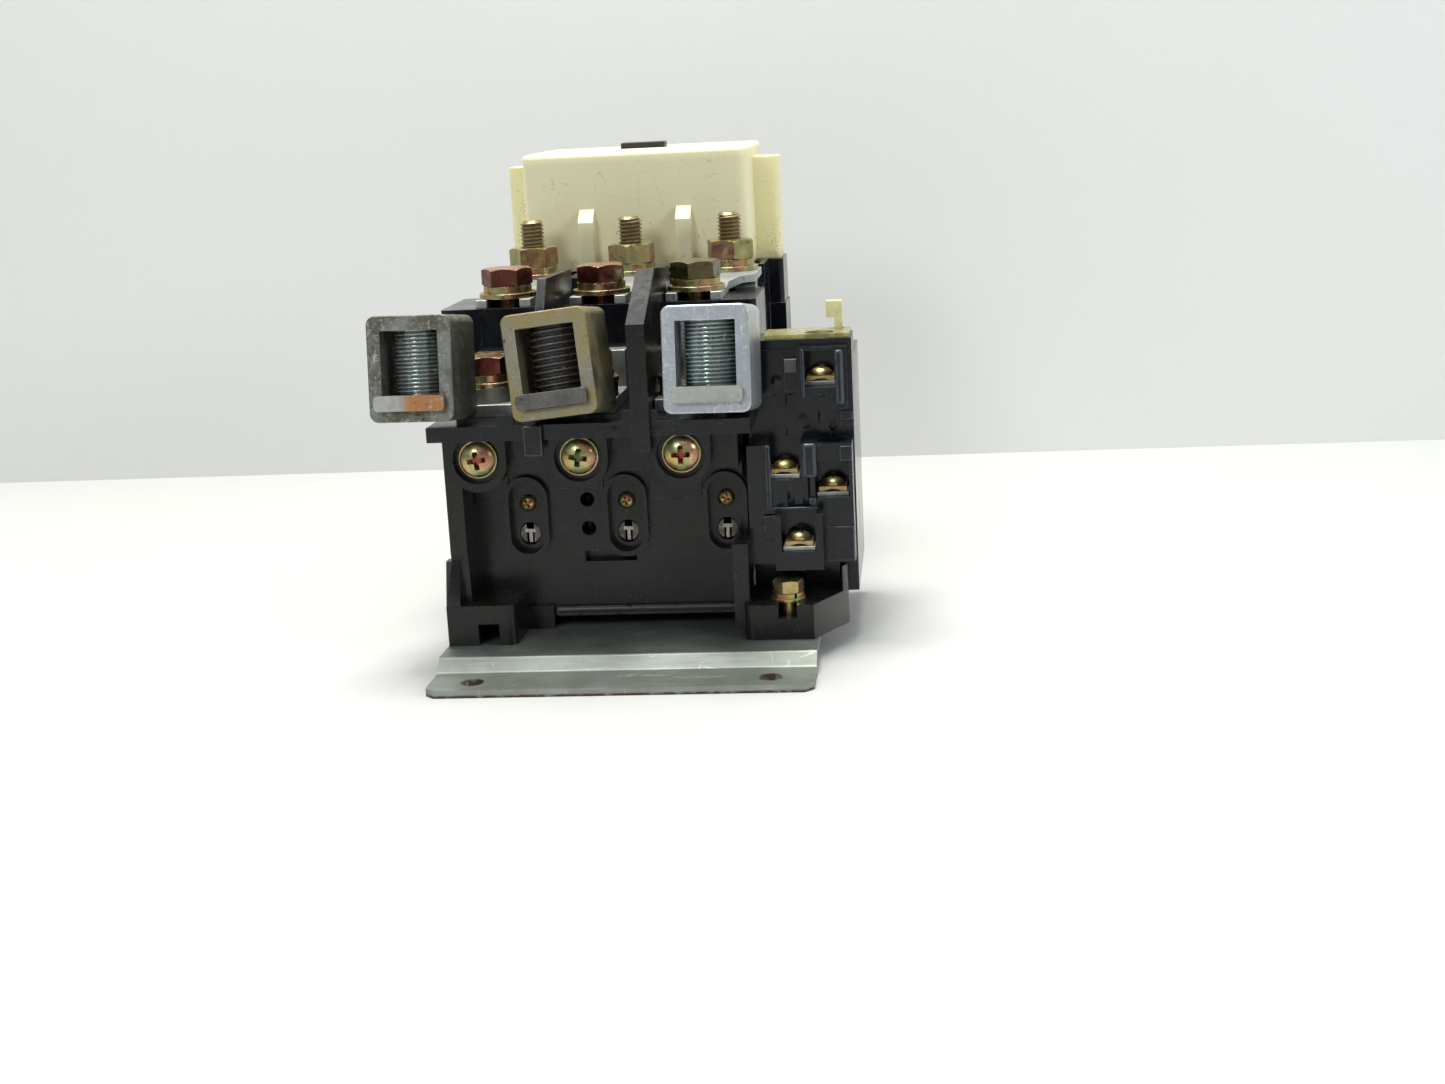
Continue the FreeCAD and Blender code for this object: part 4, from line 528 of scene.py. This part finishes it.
clearFinish = {"flagYellow": {"tint": (0.92, 0.87, 0.45), "roughness": 0.30, "clear": 0.25},
               "windowClear": {"tint": (0.66, 0.62, 0.26), "roughness": 0.18, "clear": 0.7},
               "dialIvory": {"tint": (0.70, 0.68, 0.60), "roughness": 0.4, "clear": 0.0},
               "bobbinIvory": {"tint": (0.60, 0.56, 0.46), "roughness": 0.5, "clear": 0.0},
               "padRubber": {"tint": (0.03, 0.03, 0.03), "roughness": 0.7, "clear": 0.0},
               "tagGrey": {"tint": (0.085, 0.085, 0.078), "roughness": 0.45, "clear": 0.0}}


def makePlainPlastic(name):
    values = clearFinish[name]
    material, tree, shader = newMaterial(name)
    place = objectPlace(tree)
    dulled = fade(tree, cloud(tree, place, 0.25, 5.0), 0.4, 0.7)
    darker = tuple(part * 0.8 for part in values["tint"])
    colour = mixColour(tree, dulled, values["tint"], darker)
    dusty = useGroup(tree, settledDust, {"Colour": colour, "Roughness": values["roughness"], "Dust": 0.25,
                                         "Dust Colour": (0.30, 0.28, 0.20), "Scale": 0.5})
    grain = useGroup(tree, fineGrain, {"Scale": 1.2, "Strength": 0.12, "Depth": 0.04})[0]
    connect(tree, shader, colour=dusty[0], roughness=dusty[1], normal=grain)
    shader.inputs["Transmission Weight"].default_value = values["clear"]
    return material


finish = {name: makeMoulding(name) for name in mouldings}
finish.update({name: makeMetal(name) for name in metals})
finish["tongueCopper"] = makeMetal("tongueGrey", bareCopper=(-60.5, -56.5))
finish.update({name: makeChromate(name) for name in chromates})
finish.update({name: makePlainPlastic(name) for name in clearFinish})
finish["plateZinc"] = makePlateZinc()
finish["coverCream"] = makeCoverCream()
print("finishes made:", len(finish))


# turns a bmesh into a smooth-shaded piece that rides on a body
def finishPiece(name, mesh, material, body, sharpAngle=38, replaced=()):
    for face in mesh.faces:
        face.smooth = True
    data = bpy.data.meshes.new(name)
    mesh.to_mesh(data)
    mesh.free()
    data.set_sharp_from_angle(angle=math.radians(sharpAngle))
    data.materials.append(finish[material])
    piece = bpy.data.objects.new(name, data)
    bpy.context.scene.collection.objects.link(piece)
    # large faces keep flat shading where small rounded ones meet them
    weighted = piece.modifiers.new("weightedNormals", "WEIGHTED_NORMAL")
    weighted.keep_sharp = True
    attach(piece, body)
    if replaced:
        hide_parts(*replaced)
    return piece


def mergedCopy(node):
    mesh = bmesh.new()
    mesh.from_mesh(nodes[node].data)
    bmesh.ops.remove_doubles(mesh, verts=mesh.verts, dist=0.002 * mm)
    bmesh.ops.dissolve_limit(mesh, angle_limit=math.radians(1.0), verts=mesh.verts, edges=mesh.edges,
                             use_dissolve_boundaries=False)
    return mesh


# rounds the sharp edges and marks the new faces, so that the finish can wear them and, on the black mouldings,
# paint a highlight on them
def roundEdges(mesh, width, segments=2, angle=34):
    layer = mesh.faces.layers.float.get("edgeMask") or mesh.faces.layers.float.new("edgeMask")
    sharp = [edge for edge in mesh.edges
             if len(edge.link_faces) == 2 and edge.calc_face_angle(0.0) > math.radians(angle)]
    made = bmesh.ops.bevel(mesh, geom=sharp, offset=width, offset_type="OFFSET", segments=segments,
                           profile=0.5, affect="EDGES", clamp_overlap=True, material=-1)
    for face in made["faces"]:
        face[layer] = 1.0


def roundedPiece(node, material, width, segments=2):
    words = node.split("_")
    name = words[0] + "".join(word.capitalize() for word in words[1:]) + "Rounded"
    mesh = mergedCopy(node)
    roundEdges(mesh, width * mm, segments)
    return finishPiece(name, mesh, material, bodyOf[node], replaced=[node])


# (low, high) of each separate solid in a CAD node
def islandBoxes(node):
    mesh = bmesh.new()
    mesh.from_mesh(nodes[node].data)
    bmesh.ops.remove_doubles(mesh, verts=mesh.verts, dist=0.002 * mm)
    seen = set()
    boxes = []
    for start in mesh.verts:
        if start in seen:
            continue
        group = []
        waiting = [start]
        seen.add(start)
        while waiting:
            vert = waiting.pop()
            group.append(vert.co.copy())
            for edge in vert.link_edges:
                other = edge.other_vert(vert)
                if other not in seen:
                    seen.add(other)
                    waiting.append(other)
        boxes.append((Vector([min(p[i] for p in group) for i in range(3)]),
                      Vector([max(p[i] for p in group) for i in range(3)])))
    mesh.free()
    return boxes


# a screw-cut rod from z 0 to length: one tooth profile swept round a full turn, a pitch higher at its end
def threadedRod(length, radius, pitch, depth, steps=40):
    mesh = bmesh.new()
    turns = int(length / pitch) + 3
    shape = ((0.0, radius - depth), (0.30, radius - depth), (0.58, radius), (0.72, radius))
    line = [mesh.verts.new((reach, 0, (turn + part - 1.5) * pitch)) for turn in range(turns) for part,
            reach in shape]
    edges = [mesh.edges.new(pair) for pair in zip(line, line[1:])]
    bmesh.ops.spin(mesh, geom=line + edges, cent=(0, 0, 0), axis=(0, 0, 1), dvec=(0, 0, pitch / steps),
                   angle=math.tau, steps=steps, use_merge=False)
    bmesh.ops.remove_doubles(mesh, verts=mesh.verts, dist=0.003 * mm)
    for height, inner, outer in ((0.0, True, False), (length, False, True)):
        bmesh.ops.bisect_plane(mesh, geom=mesh.verts[:] + mesh.edges[:] + mesh.faces[:], plane_co=(0, 0,
                height),
                               plane_no=(0, 0, 1), clear_inner=inner, clear_outer=outer)
        rim = [edge for edge in mesh.edges if edge.is_boundary
               and all(abs(vert.co.z - height) < 1e-7 for vert in edge.verts)]
        bmesh.ops.holes_fill(mesh, edges=rim)
    bmesh.ops.recalc_face_normals(mesh, faces=mesh.faces)
    # marks the faces deep in the thread valleys, where the finish paints shade
    valley = mesh.faces.layers.float.new("valleyShadeMask")
    for face in mesh.faces:
        middle = face.calc_center_median()
        face[valley] = float(abs(face.normal.z) < 0.99 and math.hypot(middle.x,
                middle.y) < radius - 0.62 * depth)
    return mesh


# adds the geometry of other meshes to target, and frees them
def joinMeshes(target, *others):
    for other in others:
        carrier = bpy.data.meshes.new("carrier")
        other.to_mesh(carrier)
        other.free()
        target.from_mesh(carrier)
        bpy.data.meshes.remove(carrier)
    return target


# mesh minus cutter, both closed
def cutWith(mesh, cutter):
    holders = []
    for part in (mesh, cutter):
        data = bpy.data.meshes.new("cutting")
        part.to_mesh(data)
        part.free()
        holder = bpy.data.objects.new("cutting", data)
        bpy.context.scene.collection.objects.link(holder)
        holders.append(holder)
    modifier = holders[0].modifiers.new("cut", "BOOLEAN")
    modifier.operation = "DIFFERENCE"
    modifier.solver = "EXACT"
    modifier.object = holders[1]
    bpy.context.view_layer.update()
    evaluated = holders[0].evaluated_get(bpy.context.evaluated_depsgraph_get())
    result = bmesh.new()
    result.from_mesh(evaluated.to_mesh())
    evaluated.to_mesh_clear()
    for holder in holders:
        data = holder.data
        bpy.data.objects.remove(holder)
        bpy.data.meshes.remove(data)
    return result


# closed shape turned about Z from (radius, height) points that start and end on the axis
def turnedShape(profile, steps=48):
    mesh = bmesh.new()
    line = [mesh.verts.new((radius, 0, height)) for radius, height in profile]
    edges = [mesh.edges.new(pair) for pair in zip(line, line[1:])]
    bmesh.ops.spin(mesh, geom=line + edges, cent=(0, 0, 0), axis=(0, 0, 1), angle=math.tau, steps=steps,
                   use_merge=True)
    bmesh.ops.remove_doubles(mesh, verts=mesh.verts, dist=0.003 * mm)
    bmesh.ops.recalc_face_normals(mesh, faces=mesh.faces)
    return mesh


# box between two corners in mm, with its edges rounded
def boxShape(low, high, rounding=0.0, segments=2):
    mesh = bmesh.new()
    bmesh.ops.create_cube(mesh, size=1.0)
    size = [(b - a) * mm for a, b in zip(low, high)]
    centre = [(a + b) / 2 * mm for a, b in zip(low, high)]
    bmesh.ops.transform(mesh, verts=mesh.verts,
                        matrix=Matrix.Translation(centre) @ Matrix.Diagonal(size + [1.0]))
    if rounding:
        roundEdges(mesh, rounding * mm, segments)
    return mesh


# turns a shape made along Z onto an axis and sets it in place
def placeMesh(mesh, place, axis=(0, 0, 1), spin=0.0):
    turn = Vector((0, 0, 1)).rotation_difference(Vector(axis)).to_matrix().to_4x4()
    bmesh.ops.transform(mesh, verts=mesh.verts,
                        matrix=Matrix.Translation(place) @ turn @ Matrix.Rotation(spin, 4, "Z"))
    return mesh


roundings = [("relay_housing", "relayBlack", 0.32), ("relay_rear_cover", "relayBlack", 0.3),
             ("terminal_block", "blockBlack", 0.30), ("phase_barrier_left", "barrierBlack", 0.35),
             ("phase_barrier_right", "barrierBlack", 0.35), ("aux_housing", "blockBlack", 0.26),
             ("contactor_base", "blockBlack", 0.45), ("contactor_frame", "blockBlack", 0.3),
             ("contact_carrier", "carrierDark", 0.3), ("arc_cover", "coverCream", 0.3),
             ("dial_window", "windowClear", 0.15), ("reset_flag", "flagYellow", 0.2),
             ("setting_dial", "dialIvory", 0.15), ("input_bars", "barTin", 0.22),
             ("output_bars", "barTin", 0.25), ("load_terminals", "barTin", 0.22),
             ("line_terminals", "barTin", 0.22), ("control_tap", "barTin", 0.15),
             ("input_bolts", "boltChromate", 0.16), ("output_bolts", "boltChromate", 0.16),
             ("stud_nuts", "nutChromate", 0.16), ("flat_washers", "washerChromate", 0.22),
             ("spring_washers", "washerChromate", 0.2), ("front_screw_washers", "washerChromate", 0.12),
             ("control_clamp_washers", "clampChromate", 0.14), ("control_terminal_plates", "barTin", 0.12),
             ("contactor_screws", "nutChromate", 0.15), ("foot_bolt", "footChromate", 0.35), ("lug_box_left",
                     "lugDull", 0.3),
             ("lug_box_middle", "lugStained", 0.3), ("lug_box_right", "lugBright", 0.3),
             ("lug_tongue_left", "tongueCopper", 0.35), ("lug_tongue_middle", "tongueDark", 0.35),
             ("lug_tongue_right", "tongueGrey", 0.35)]

for node, material, width in roundings:
    roundedPiece(node, material, width)
print("rounded pieces:", len(roundings))

# nodes that keep their CAD shape and only get a finish
keptFinish = {"base_plate": "plateZinc", "arc_grids": "coreSteel", "armature": "coreSteel",
              "fixed_core": "coreSteel",
              "bimetal_strips": "springGrey", "heater_strips": "springGrey", "coil": "copperRed",
              "contact_bridges": "copperRed", "shading_rings": "copperRed", "trip_contact": "copperRed",
              "fixed_trip_contact": "copperRed", "coil_bobbin": "bobbinIvory", "cushion_pads": "padRubber",
              "trip_slide": "carrierDark", "trip_lever": "carrierDark", "lever_pin": "springGrey"}
for node, material in keptFinish.items():
    nodes[node].data.materials.clear()
    nodes[node].data.materials.append(finish[material])


# coil springs; pressedBy names the joint that presses a set and its travel, and such a set gets its own mesh, but
# nothing shortens it; lengths in mm
coilSprings = {"returnSpringsCoiled": {"node": "return_springs", "wire": 0.16, "pressedBy": ("pull_in", 5.0)},
               "resetSpringCoiled": {"node": "reset_spring", "wire": 0.16, "pressedBy": ("reset_press", 3.0)},
               "contactSpringsCoiled": {"node": "contact_springs", "wire": 0.16, "pressedBy": None}}
springLook = {"turnGap": 3.4, "stepsPerTurn": 24}


def makeCoilSprings(name):
    values = coilSprings[name]
    node = values["node"]
    boxes = islandBoxes(node)
    whole = bmesh.new()
    for low, high in boxes:
        outer = (high.x - low.x) / 2
        wire = outer * values["wire"]
        rise = high.z - low.z - 2 * wire
        turns = max(2, round(rise / (springLook["turnGap"] * wire)))
        steps = turns * springLook["stepsPerTurn"]
        coil = bmesh.new()
        bmesh.ops.create_circle(coil, cap_ends=True, segments=8, radius=wire)
        bmesh.ops.transform(coil, verts=coil.verts, matrix=Matrix.Translation(
            ((low.x + high.x) / 2 + outer - wire, (low.y + high.y) / 2,
             low.z + wire)) @ Matrix.Rotation(math.pi / 2, 4, "X"))
        ring = coil.verts[:] + coil.edges[:]
        bmesh.ops.spin(coil, geom=ring, cent=((low.x + high.x) / 2, (low.y + high.y) / 2, 0), axis=(0, 0, 1),
                       dvec=(0, 0, rise / steps), angle=turns * math.tau, steps=steps, use_merge=False)
        bmesh.ops.remove_doubles(coil, verts=coil.verts, dist=0.0005 * mm)
        bmesh.ops.holes_fill(coil, edges=[edge for edge in coil.edges if edge.is_boundary])
        bmesh.ops.recalc_face_normals(coil, faces=coil.faces)
        joinMeshes(whole, coil)
    piece = finishPiece(name, whole, "springGrey", bodyOf[node], 60, [node])
    if values["pressedBy"]:
        low, high = boxes[0]
        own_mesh(piece)


for name in coilSprings:
    makeCoilSprings(name)
print("spring sets coiled:", len(coilSprings))


lugScrews = {"left": {"pitch": 1.15, "depth": 0.66, "material": "threadDull"},
             "middle": {"pitch": 1.9, "depth": 1.05, "material": "threadDark"},
             "right": {"pitch": 1.15, "depth": 0.66, "material": "threadBright"}}


def makeLugScrew(side):
    values = lugScrews[side]
    node = "lug_screw_" + side
    axis = jointAxis["lug_clamp_" + side]
    points = {tuple(round(part, 7) for part in vert.co) for vert in nodes[node].data.vertices}
    heights = [Vector(point).dot(axis) for point in points]
    lowest = min(heights)
    length = max(heights) - lowest
    foot = [Vector(point) for point in points if Vector(point).dot(axis) < lowest + 0.02 * mm]
    centre = sum(foot, Vector()) / len(foot)
    radius = max((point - centre).length for point in foot)
    rod = threadedRod(length, radius, values["pitch"] * mm, values["depth"] * mm, 56)
    slot = boxShape((-12, -1.2, length / mm - 3.2), (12, 1.2, length / mm + 2))
    placed = placeMesh(cutWith(rod, slot), centre, axis)
    finishPiece("lugScrew" + side.capitalize(), placed, values["material"], bodyOf[node], 25,
                [node])


for side in lugScrews:
    makeLugScrew(side)
print("lug screws threaded")


studThread = {"pitch": 1.25, "depth": 0.68, "point": 0.8, "headHeight": 4.4}


def makeStuds():
    whole = bmesh.new()
    whole.faces.layers.float.new("valleyShadeMask")
    for low, high in islandBoxes("terminal_studs"):
        centre = (low + high) / 2
        length = high.z - low.z
        rod = threadedRod(length - studThread["point"] * mm, 4.0 * mm, studThread["pitch"] * mm,
                          studThread["depth"] * mm, 36)
        top = max(rod.faces, key=lambda face: face.calc_center_median().z)
        bmesh.ops.inset_region(rod, faces=[top], thickness=0.75 * mm, depth=studThread["point"] * mm)
        head = bmesh.new()
        bmesh.ops.create_cone(head, cap_ends=True, segments=6, radius1=7.5 * mm, radius2=7.5 * mm,
                              depth=studThread["headHeight"] * mm)
        placeMesh(head, (0, 0, studThread["headHeight"] / 2 * mm))
        joinMeshes(rod, head)
        placeMesh(rod, (centre.x, centre.y, low.z), spin=centre.x * 900)
        joinMeshes(whole, rod)
    finishPiece("terminalStudsThreaded", whole, "studSteel", "starter", 25, ["terminal_studs"])


makeStuds()
print("studs threaded")


crossScrews = {
    "panScrews": {"node": "front_pan_screws", "material": "panChromate", "slot": "yellow_zinc", "axis": (0,
            -1, 0),
                  "headRadius": 5.2, "headHeight": 3.0, "shankRadius": 2.9, "arm": 3.0, "slotHalf": 0.78,
                  "turns": (0.1, -0.15, 0.0)},
    "heaterScrews": {"node": "heater_screws", "material": "panChromate", "slot": "brass", "axis": (0, -1, 0),
                     "headRadius": 2.6, "headHeight": 1.8, "shankRadius": 1.45, "arm": 1.5, "slotHalf": 0.42,
                     "turns": (0.5, 0.2, -0.3)},
    "clampScrews": {"node": "control_terminal_screws", "material": "clampChromate", "slot": "brass",
                    "axis": (0, 0, 1),
                    "headRadius": 3.4, "headHeight": 2.4, "shankRadius": 1.7, "arm": 1.9, "slotHalf": 0.42,
                    "turns": (0.4, 0.1, -0.5, 0.7, 0.2, 0.0)}}


# cutter for a cross recess: two blades that narrow towards the bottom
def crossRecess(arm, slotHalf, depth, top):
    blades = []
    for turn in (0.0, math.pi / 2):
        blade = bmesh.new()
        bmesh.ops.create_cube(blade, size=1.0)
        for vert in blade.verts:
            below = vert.co.z < 0
            vert.co.x *= 2 * arm * (0.45 if below else 1.25)
            vert.co.y *= 2 * slotHalf * (0.7 if below else 1.1)
            vert.co.z = top - depth if below else top + 0.4 * depth
        placeMesh(blade, (0, 0, 0), spin=turn)
        blades.append(blade)
    return blades


def makeCrossScrews(name):
    values = crossScrews[name]
    axis = Vector(values["axis"])
    whole = bmesh.new()
    whole.faces.layers.float.new("recessMask")
    head = values["headRadius"]
    height = values["headHeight"]
    boxes = sorted(islandBoxes(values["node"]), key=lambda box: box[0].x)
    for (low, high), turn in zip(boxes, values["turns"]):
        centre = (low + high) / 2
        tip = Vector((centre.x, low.y, centre.z)) if axis.y else Vector((centre.x, centre.y, high.z))
        span = (high - low).dot(Vector([abs(part) for part in axis])) / mm
        dome = [(0, 0)]
        for i in range(1, 9):
            angle = i / 8 * math.radians(68)
            dome.append((head * math.sin(angle) / math.sin(math.radians(68)),
                         -height * 0.72 * (1 - math.cos(angle)) / (1 - math.cos(math.radians(68)))))
        profile = dome + [(head, -height + 0.15), (head - 0.15, -height), (values["shankRadius"], -height),
                          (values["shankRadius"], -span + 0.4), (values["shankRadius"] - 0.4, -span), (0,
                                  -span)]
        shape = turnedShape([(radius * mm, place * mm) for radius, place in profile])
        for blade in crossRecess(values["arm"] * mm, values["slotHalf"] * mm, height * 0.62 * mm, -0.1 * mm):
            shape = cutWith(shape, blade)
        recess = shape.faces.layers.float.get("recessMask") or shape.faces.layers.float.new("recessMask")
        for face in shape.faces:
            middle = face.calc_center_median() / mm
            reach = math.hypot(middle.x, middle.y)
            surface = -height * 0.72 * (1 - math.cos(reach / head * 1.1868)) / (1 - math.cos(1.1868))
            face[recess] = float(reach < 1.3 * values["arm"] and -height < middle.z < surface - 0.18)
        placeMesh(shape, tip, axis, turn)
        joinMeshes(whole, shape)
    finishPiece(name, whole, values["material"], bodyOf[values["node"]], 32, [values["node"]])


for name in crossScrews:
    makeCrossScrews(name)
print("cross-recessed screws made")


# (low corner, high corner, rounding) in mm
trimBoxes = {
    "relayTrim": {"material": "relayBlack", "slot": "black_moulding", "boxes": [
        ((-25.6, -80.0, 9.7), (30.4, -77.9, 12.8), 1.2),
        ((-47.9, -78.6, 44.9), (-37.4, -77.9, 55.9), 0.3), ((-25.0, -78.6, 48.8), (-8.8, -77.9, 55.9), 0.3),
        ((5.0, -78.6, 45.0), (21.0, -77.9, 55.9), 0.3)]},
    "auxTrim": {"material": "blockBlack", "slot": "black_moulding", "boxes": [
        ((46.3, -74.7, 75.4), (50.3, -73.0, 85.1), 0.3), ((61.4, -77.4, 71.4), (63.9, -75.2, 87.6), 0.9),
        ((51.2, -76.4, 73.4), (52.5, -75.2, 88.0), 0.5), ((51.4, -85.8, 51.4), (55.5, -83.3, 61.6), 1.0),
        ((40.4, -85.0, 42.4), (42.0, -83.3, 61.2), 0.5), ((40.6, -84.4, 41.6), (55.4, -83.3, 42.6), 0.4),
        ((52.8, -85.2, 43.2), (55.0, -83.3, 45.4), 0.7), ((39.2, -85.4, 33.0), (43.0, -83.3, 40.4), 0.6),
        ((62.3, -72.9, 66.2), (66.1, -71.9, 68.8), 0.3), ((62.3, -84.4, 56.0), (65.8, -83.3, 60.4), 0.3),
        ((57.4, -84.1, 26.0), (65.8, -83.3, 36.4), 0.3)]},
    "auxTag": {"material": "tagGrey", "slot": "black_moulding", "boxes": [((46.5, -75.1, 81.1), (50.1, -74.6,
            84.9), 0.12)]}}


def makeTrim(name):
    values = trimBoxes[name]
    whole = bmesh.new()
    for low, high, rounding in values["boxes"]:
        joinMeshes(whole, boxShape(low, high, rounding, 3))
    finishPiece(name, whole, values["material"], "starter")


for name in trimBoxes:
    makeTrim(name)

# round moulded marks: (x, front y, z, radius, how far it stands out)
moundings = {"ledgeMarks": {"material": "barrierBlack", "marks": [(-1.2, -96.0, 68.9, 1.5, 0.12), (11.2,
        -96.0, 68.9, 1.5, 0.12)]},
             "panelMarks": {"material": "blockBlack", "marks": [(43.9, -73.2, 78.6, 1.7, 0.25), (57.2, -75.4,
                     73.4, 1.1, 0.3),
                                                                (51.6, -72.0, 66.0, 2.3, 0.2)]}}


def makeMoundings(name):
    whole = bmesh.new()
    for x, front, z, radius, stands in moundings[name]["marks"]:
        profile = [(0, 0), (radius - 0.3, 0), (radius, -0.5 * stands), (radius, -stands - 0.3), (0,
                -stands - 0.3)]
        disc = turnedShape([(reach * mm, height * mm) for reach, height in profile], 32)
        joinMeshes(whole, placeMesh(disc, Vector((x, front - stands, z)) * mm, (0, -1, 0)))
    finishPiece(name, whole, moundings[name]["material"], "starter")


for name in moundings:
    makeMoundings(name)

# what shows through the heater windows: two half-round leaves and a bar between them
glimpses = {"centres": (-32.3, -2.3, 27.7), "height": 35.1, "face": -75.6, "radius": 3.0, "gap": 1.15,
            "barHalf": 0.55}


def makeGlimpses():
    values = glimpses
    leaves = bmesh.new()
    bars = bmesh.new()
    for x in values["centres"]:
        for side in (-1, 1):
            disc = bmesh.new()
            bmesh.ops.create_cone(disc, cap_ends=True, segments=40, radius1=values["radius"] * mm,
                                  radius2=values["radius"] * mm, depth=0.8 * mm)
            bmesh.ops.bisect_plane(disc, geom=disc.verts[:] + disc.edges[:] + disc.faces[:],
                                   plane_co=(side * values["gap"] * mm, 0, 0), plane_no=(side, 0, 0),
                                   clear_inner=True)
            bmesh.ops.holes_fill(disc, edges=[edge for edge in disc.edges if edge.is_boundary])
            bmesh.ops.recalc_face_normals(disc, faces=disc.faces)
            bmesh.ops.transform(disc, verts=disc.verts, matrix=Matrix.Rotation(math.pi / 2, 4, "X"))
            bmesh.ops.translate(disc, verts=disc.verts, vec=Vector((x, values["face"],
                    values["height"])) * mm)
            joinMeshes(leaves, disc)
        half = values["barHalf"]
        joinMeshes(bars, boxShape((x - half, values["face"] - 0.3, values["height"] - 2.9),
                                  (x + half, values["face"] + 0.6, values["height"] + 0.6), 0.15),
                   boxShape((x - 1.5, values["face"] - 0.5, values["height"] + 0.2),
                            (x + 1.5, values["face"] + 0.4, values["height"] + 1.3), 0.15))
    finishPiece("heaterLeaves", leaves, "heaterLeaf", "starter")
    finishPiece("heaterBars", bars, "springGrey", "starter")


makeGlimpses()
print("trim made")


def makeStudio():
    scene = bpy.context.scene
    scene.view_settings.view_transform = "Standard"
    world = bpy.data.worlds.new("paleRoom")
    world.use_nodes = True
    world.node_tree.nodes["Background"].inputs[0].default_value = studio["worldTint"] + (1.0,)
    world.node_tree.nodes["Background"].inputs[1].default_value = studio["worldStrength"]
    scene.world = world
    for name, tint, corners in (
            ("floor", studio["floorTint"], [(-4, -4, 0), (4, -4, 0), (4, 4, 0), (-4, 4, 0)]),
            ("wall", studio["wallTint"], [(-4, studio["wallPlace"] * mm, 0), (4, studio["wallPlace"] * mm, 0),
                                          (4, studio["wallPlace"] * mm, 3), (-4, studio["wallPlace"] * mm,
                                                  3)])):
        mesh = bmesh.new()
        mesh.faces.new([mesh.verts.new(corner) for corner in corners])
        data = bpy.data.meshes.new(name)
        mesh.to_mesh(data)
        mesh.free()
        material, tree, shader = newMaterial(name + "Paint")
        soft = cloud(tree, objectPlace(tree), 0.004, 3.0)
        colour = mixColour(tree, calc(tree, "MULTIPLY", soft, 0.12), tint, tuple(part * 0.9 for part in tint))
        connect(tree, shader, colour=colour, roughness=0.7)
        if name == "wall":
            # clear when seen from behind, so that it never hides the starter's far side
            behind = addNode(tree, "ShaderNodeNewGeometry").outputs["Backfacing"]
            clear = addNode(tree, "ShaderNodeBsdfTransparent").outputs[0]
            both = addNode(tree, "ShaderNodeMixShader", {0: behind, 1: shader.outputs[0],
                    2: clear}).outputs[0]
            tree.links.new(both, tree.nodes["Material Output"].inputs[0])
        data.materials.append(material)
        panel = bpy.data.objects.new(name, data)
        scene.collection.objects.link(panel)
    for name, place, target, size, power, tint in studio["lamps"]:
        light = bpy.data.lights.new(name, "AREA")
        light.size = size * mm
        light.energy = power
        light.color = tint
        lamp = bpy.data.objects.new(name, light)
        scene.collection.objects.link(lamp)
        lamp.location = Vector(place) * mm
        lamp.rotation_mode = "QUATERNION"
        lamp.rotation_quaternion = (Vector(target) - Vector(place)).to_track_quat("-Z", "Y")
    yaw, down, roll = (math.radians(studio[key]) for key in ("cameraYaw", "cameraDown", "cameraRoll"))
    ahead = Vector((math.sin(yaw) * math.cos(down), math.cos(yaw) * math.cos(down), -math.sin(down)))
    level = Vector((math.cos(yaw), -math.sin(yaw), 0))
    below = ahead.cross(level)
    right = level * math.cos(roll) + below * math.sin(roll)
    under = below * math.cos(roll) - level * math.sin(roll)
    data = bpy.data.cameras.new("camera")
    data.sensor_width = 36
    data.lens = studio["cameraLens"]
    data.clip_start = 0.01
    camera = bpy.data.objects.new("camera", data)
    scene.collection.objects.link(camera)
    turned = Matrix((right, -under, -ahead)).transposed().to_4x4()
    camera.matrix_world = Matrix.Translation(Vector(studio["cameraPlace"]) * mm) @ turned
    scene.camera = camera


makeStudio()
print("studio set")

bpy.context.view_layer.update()
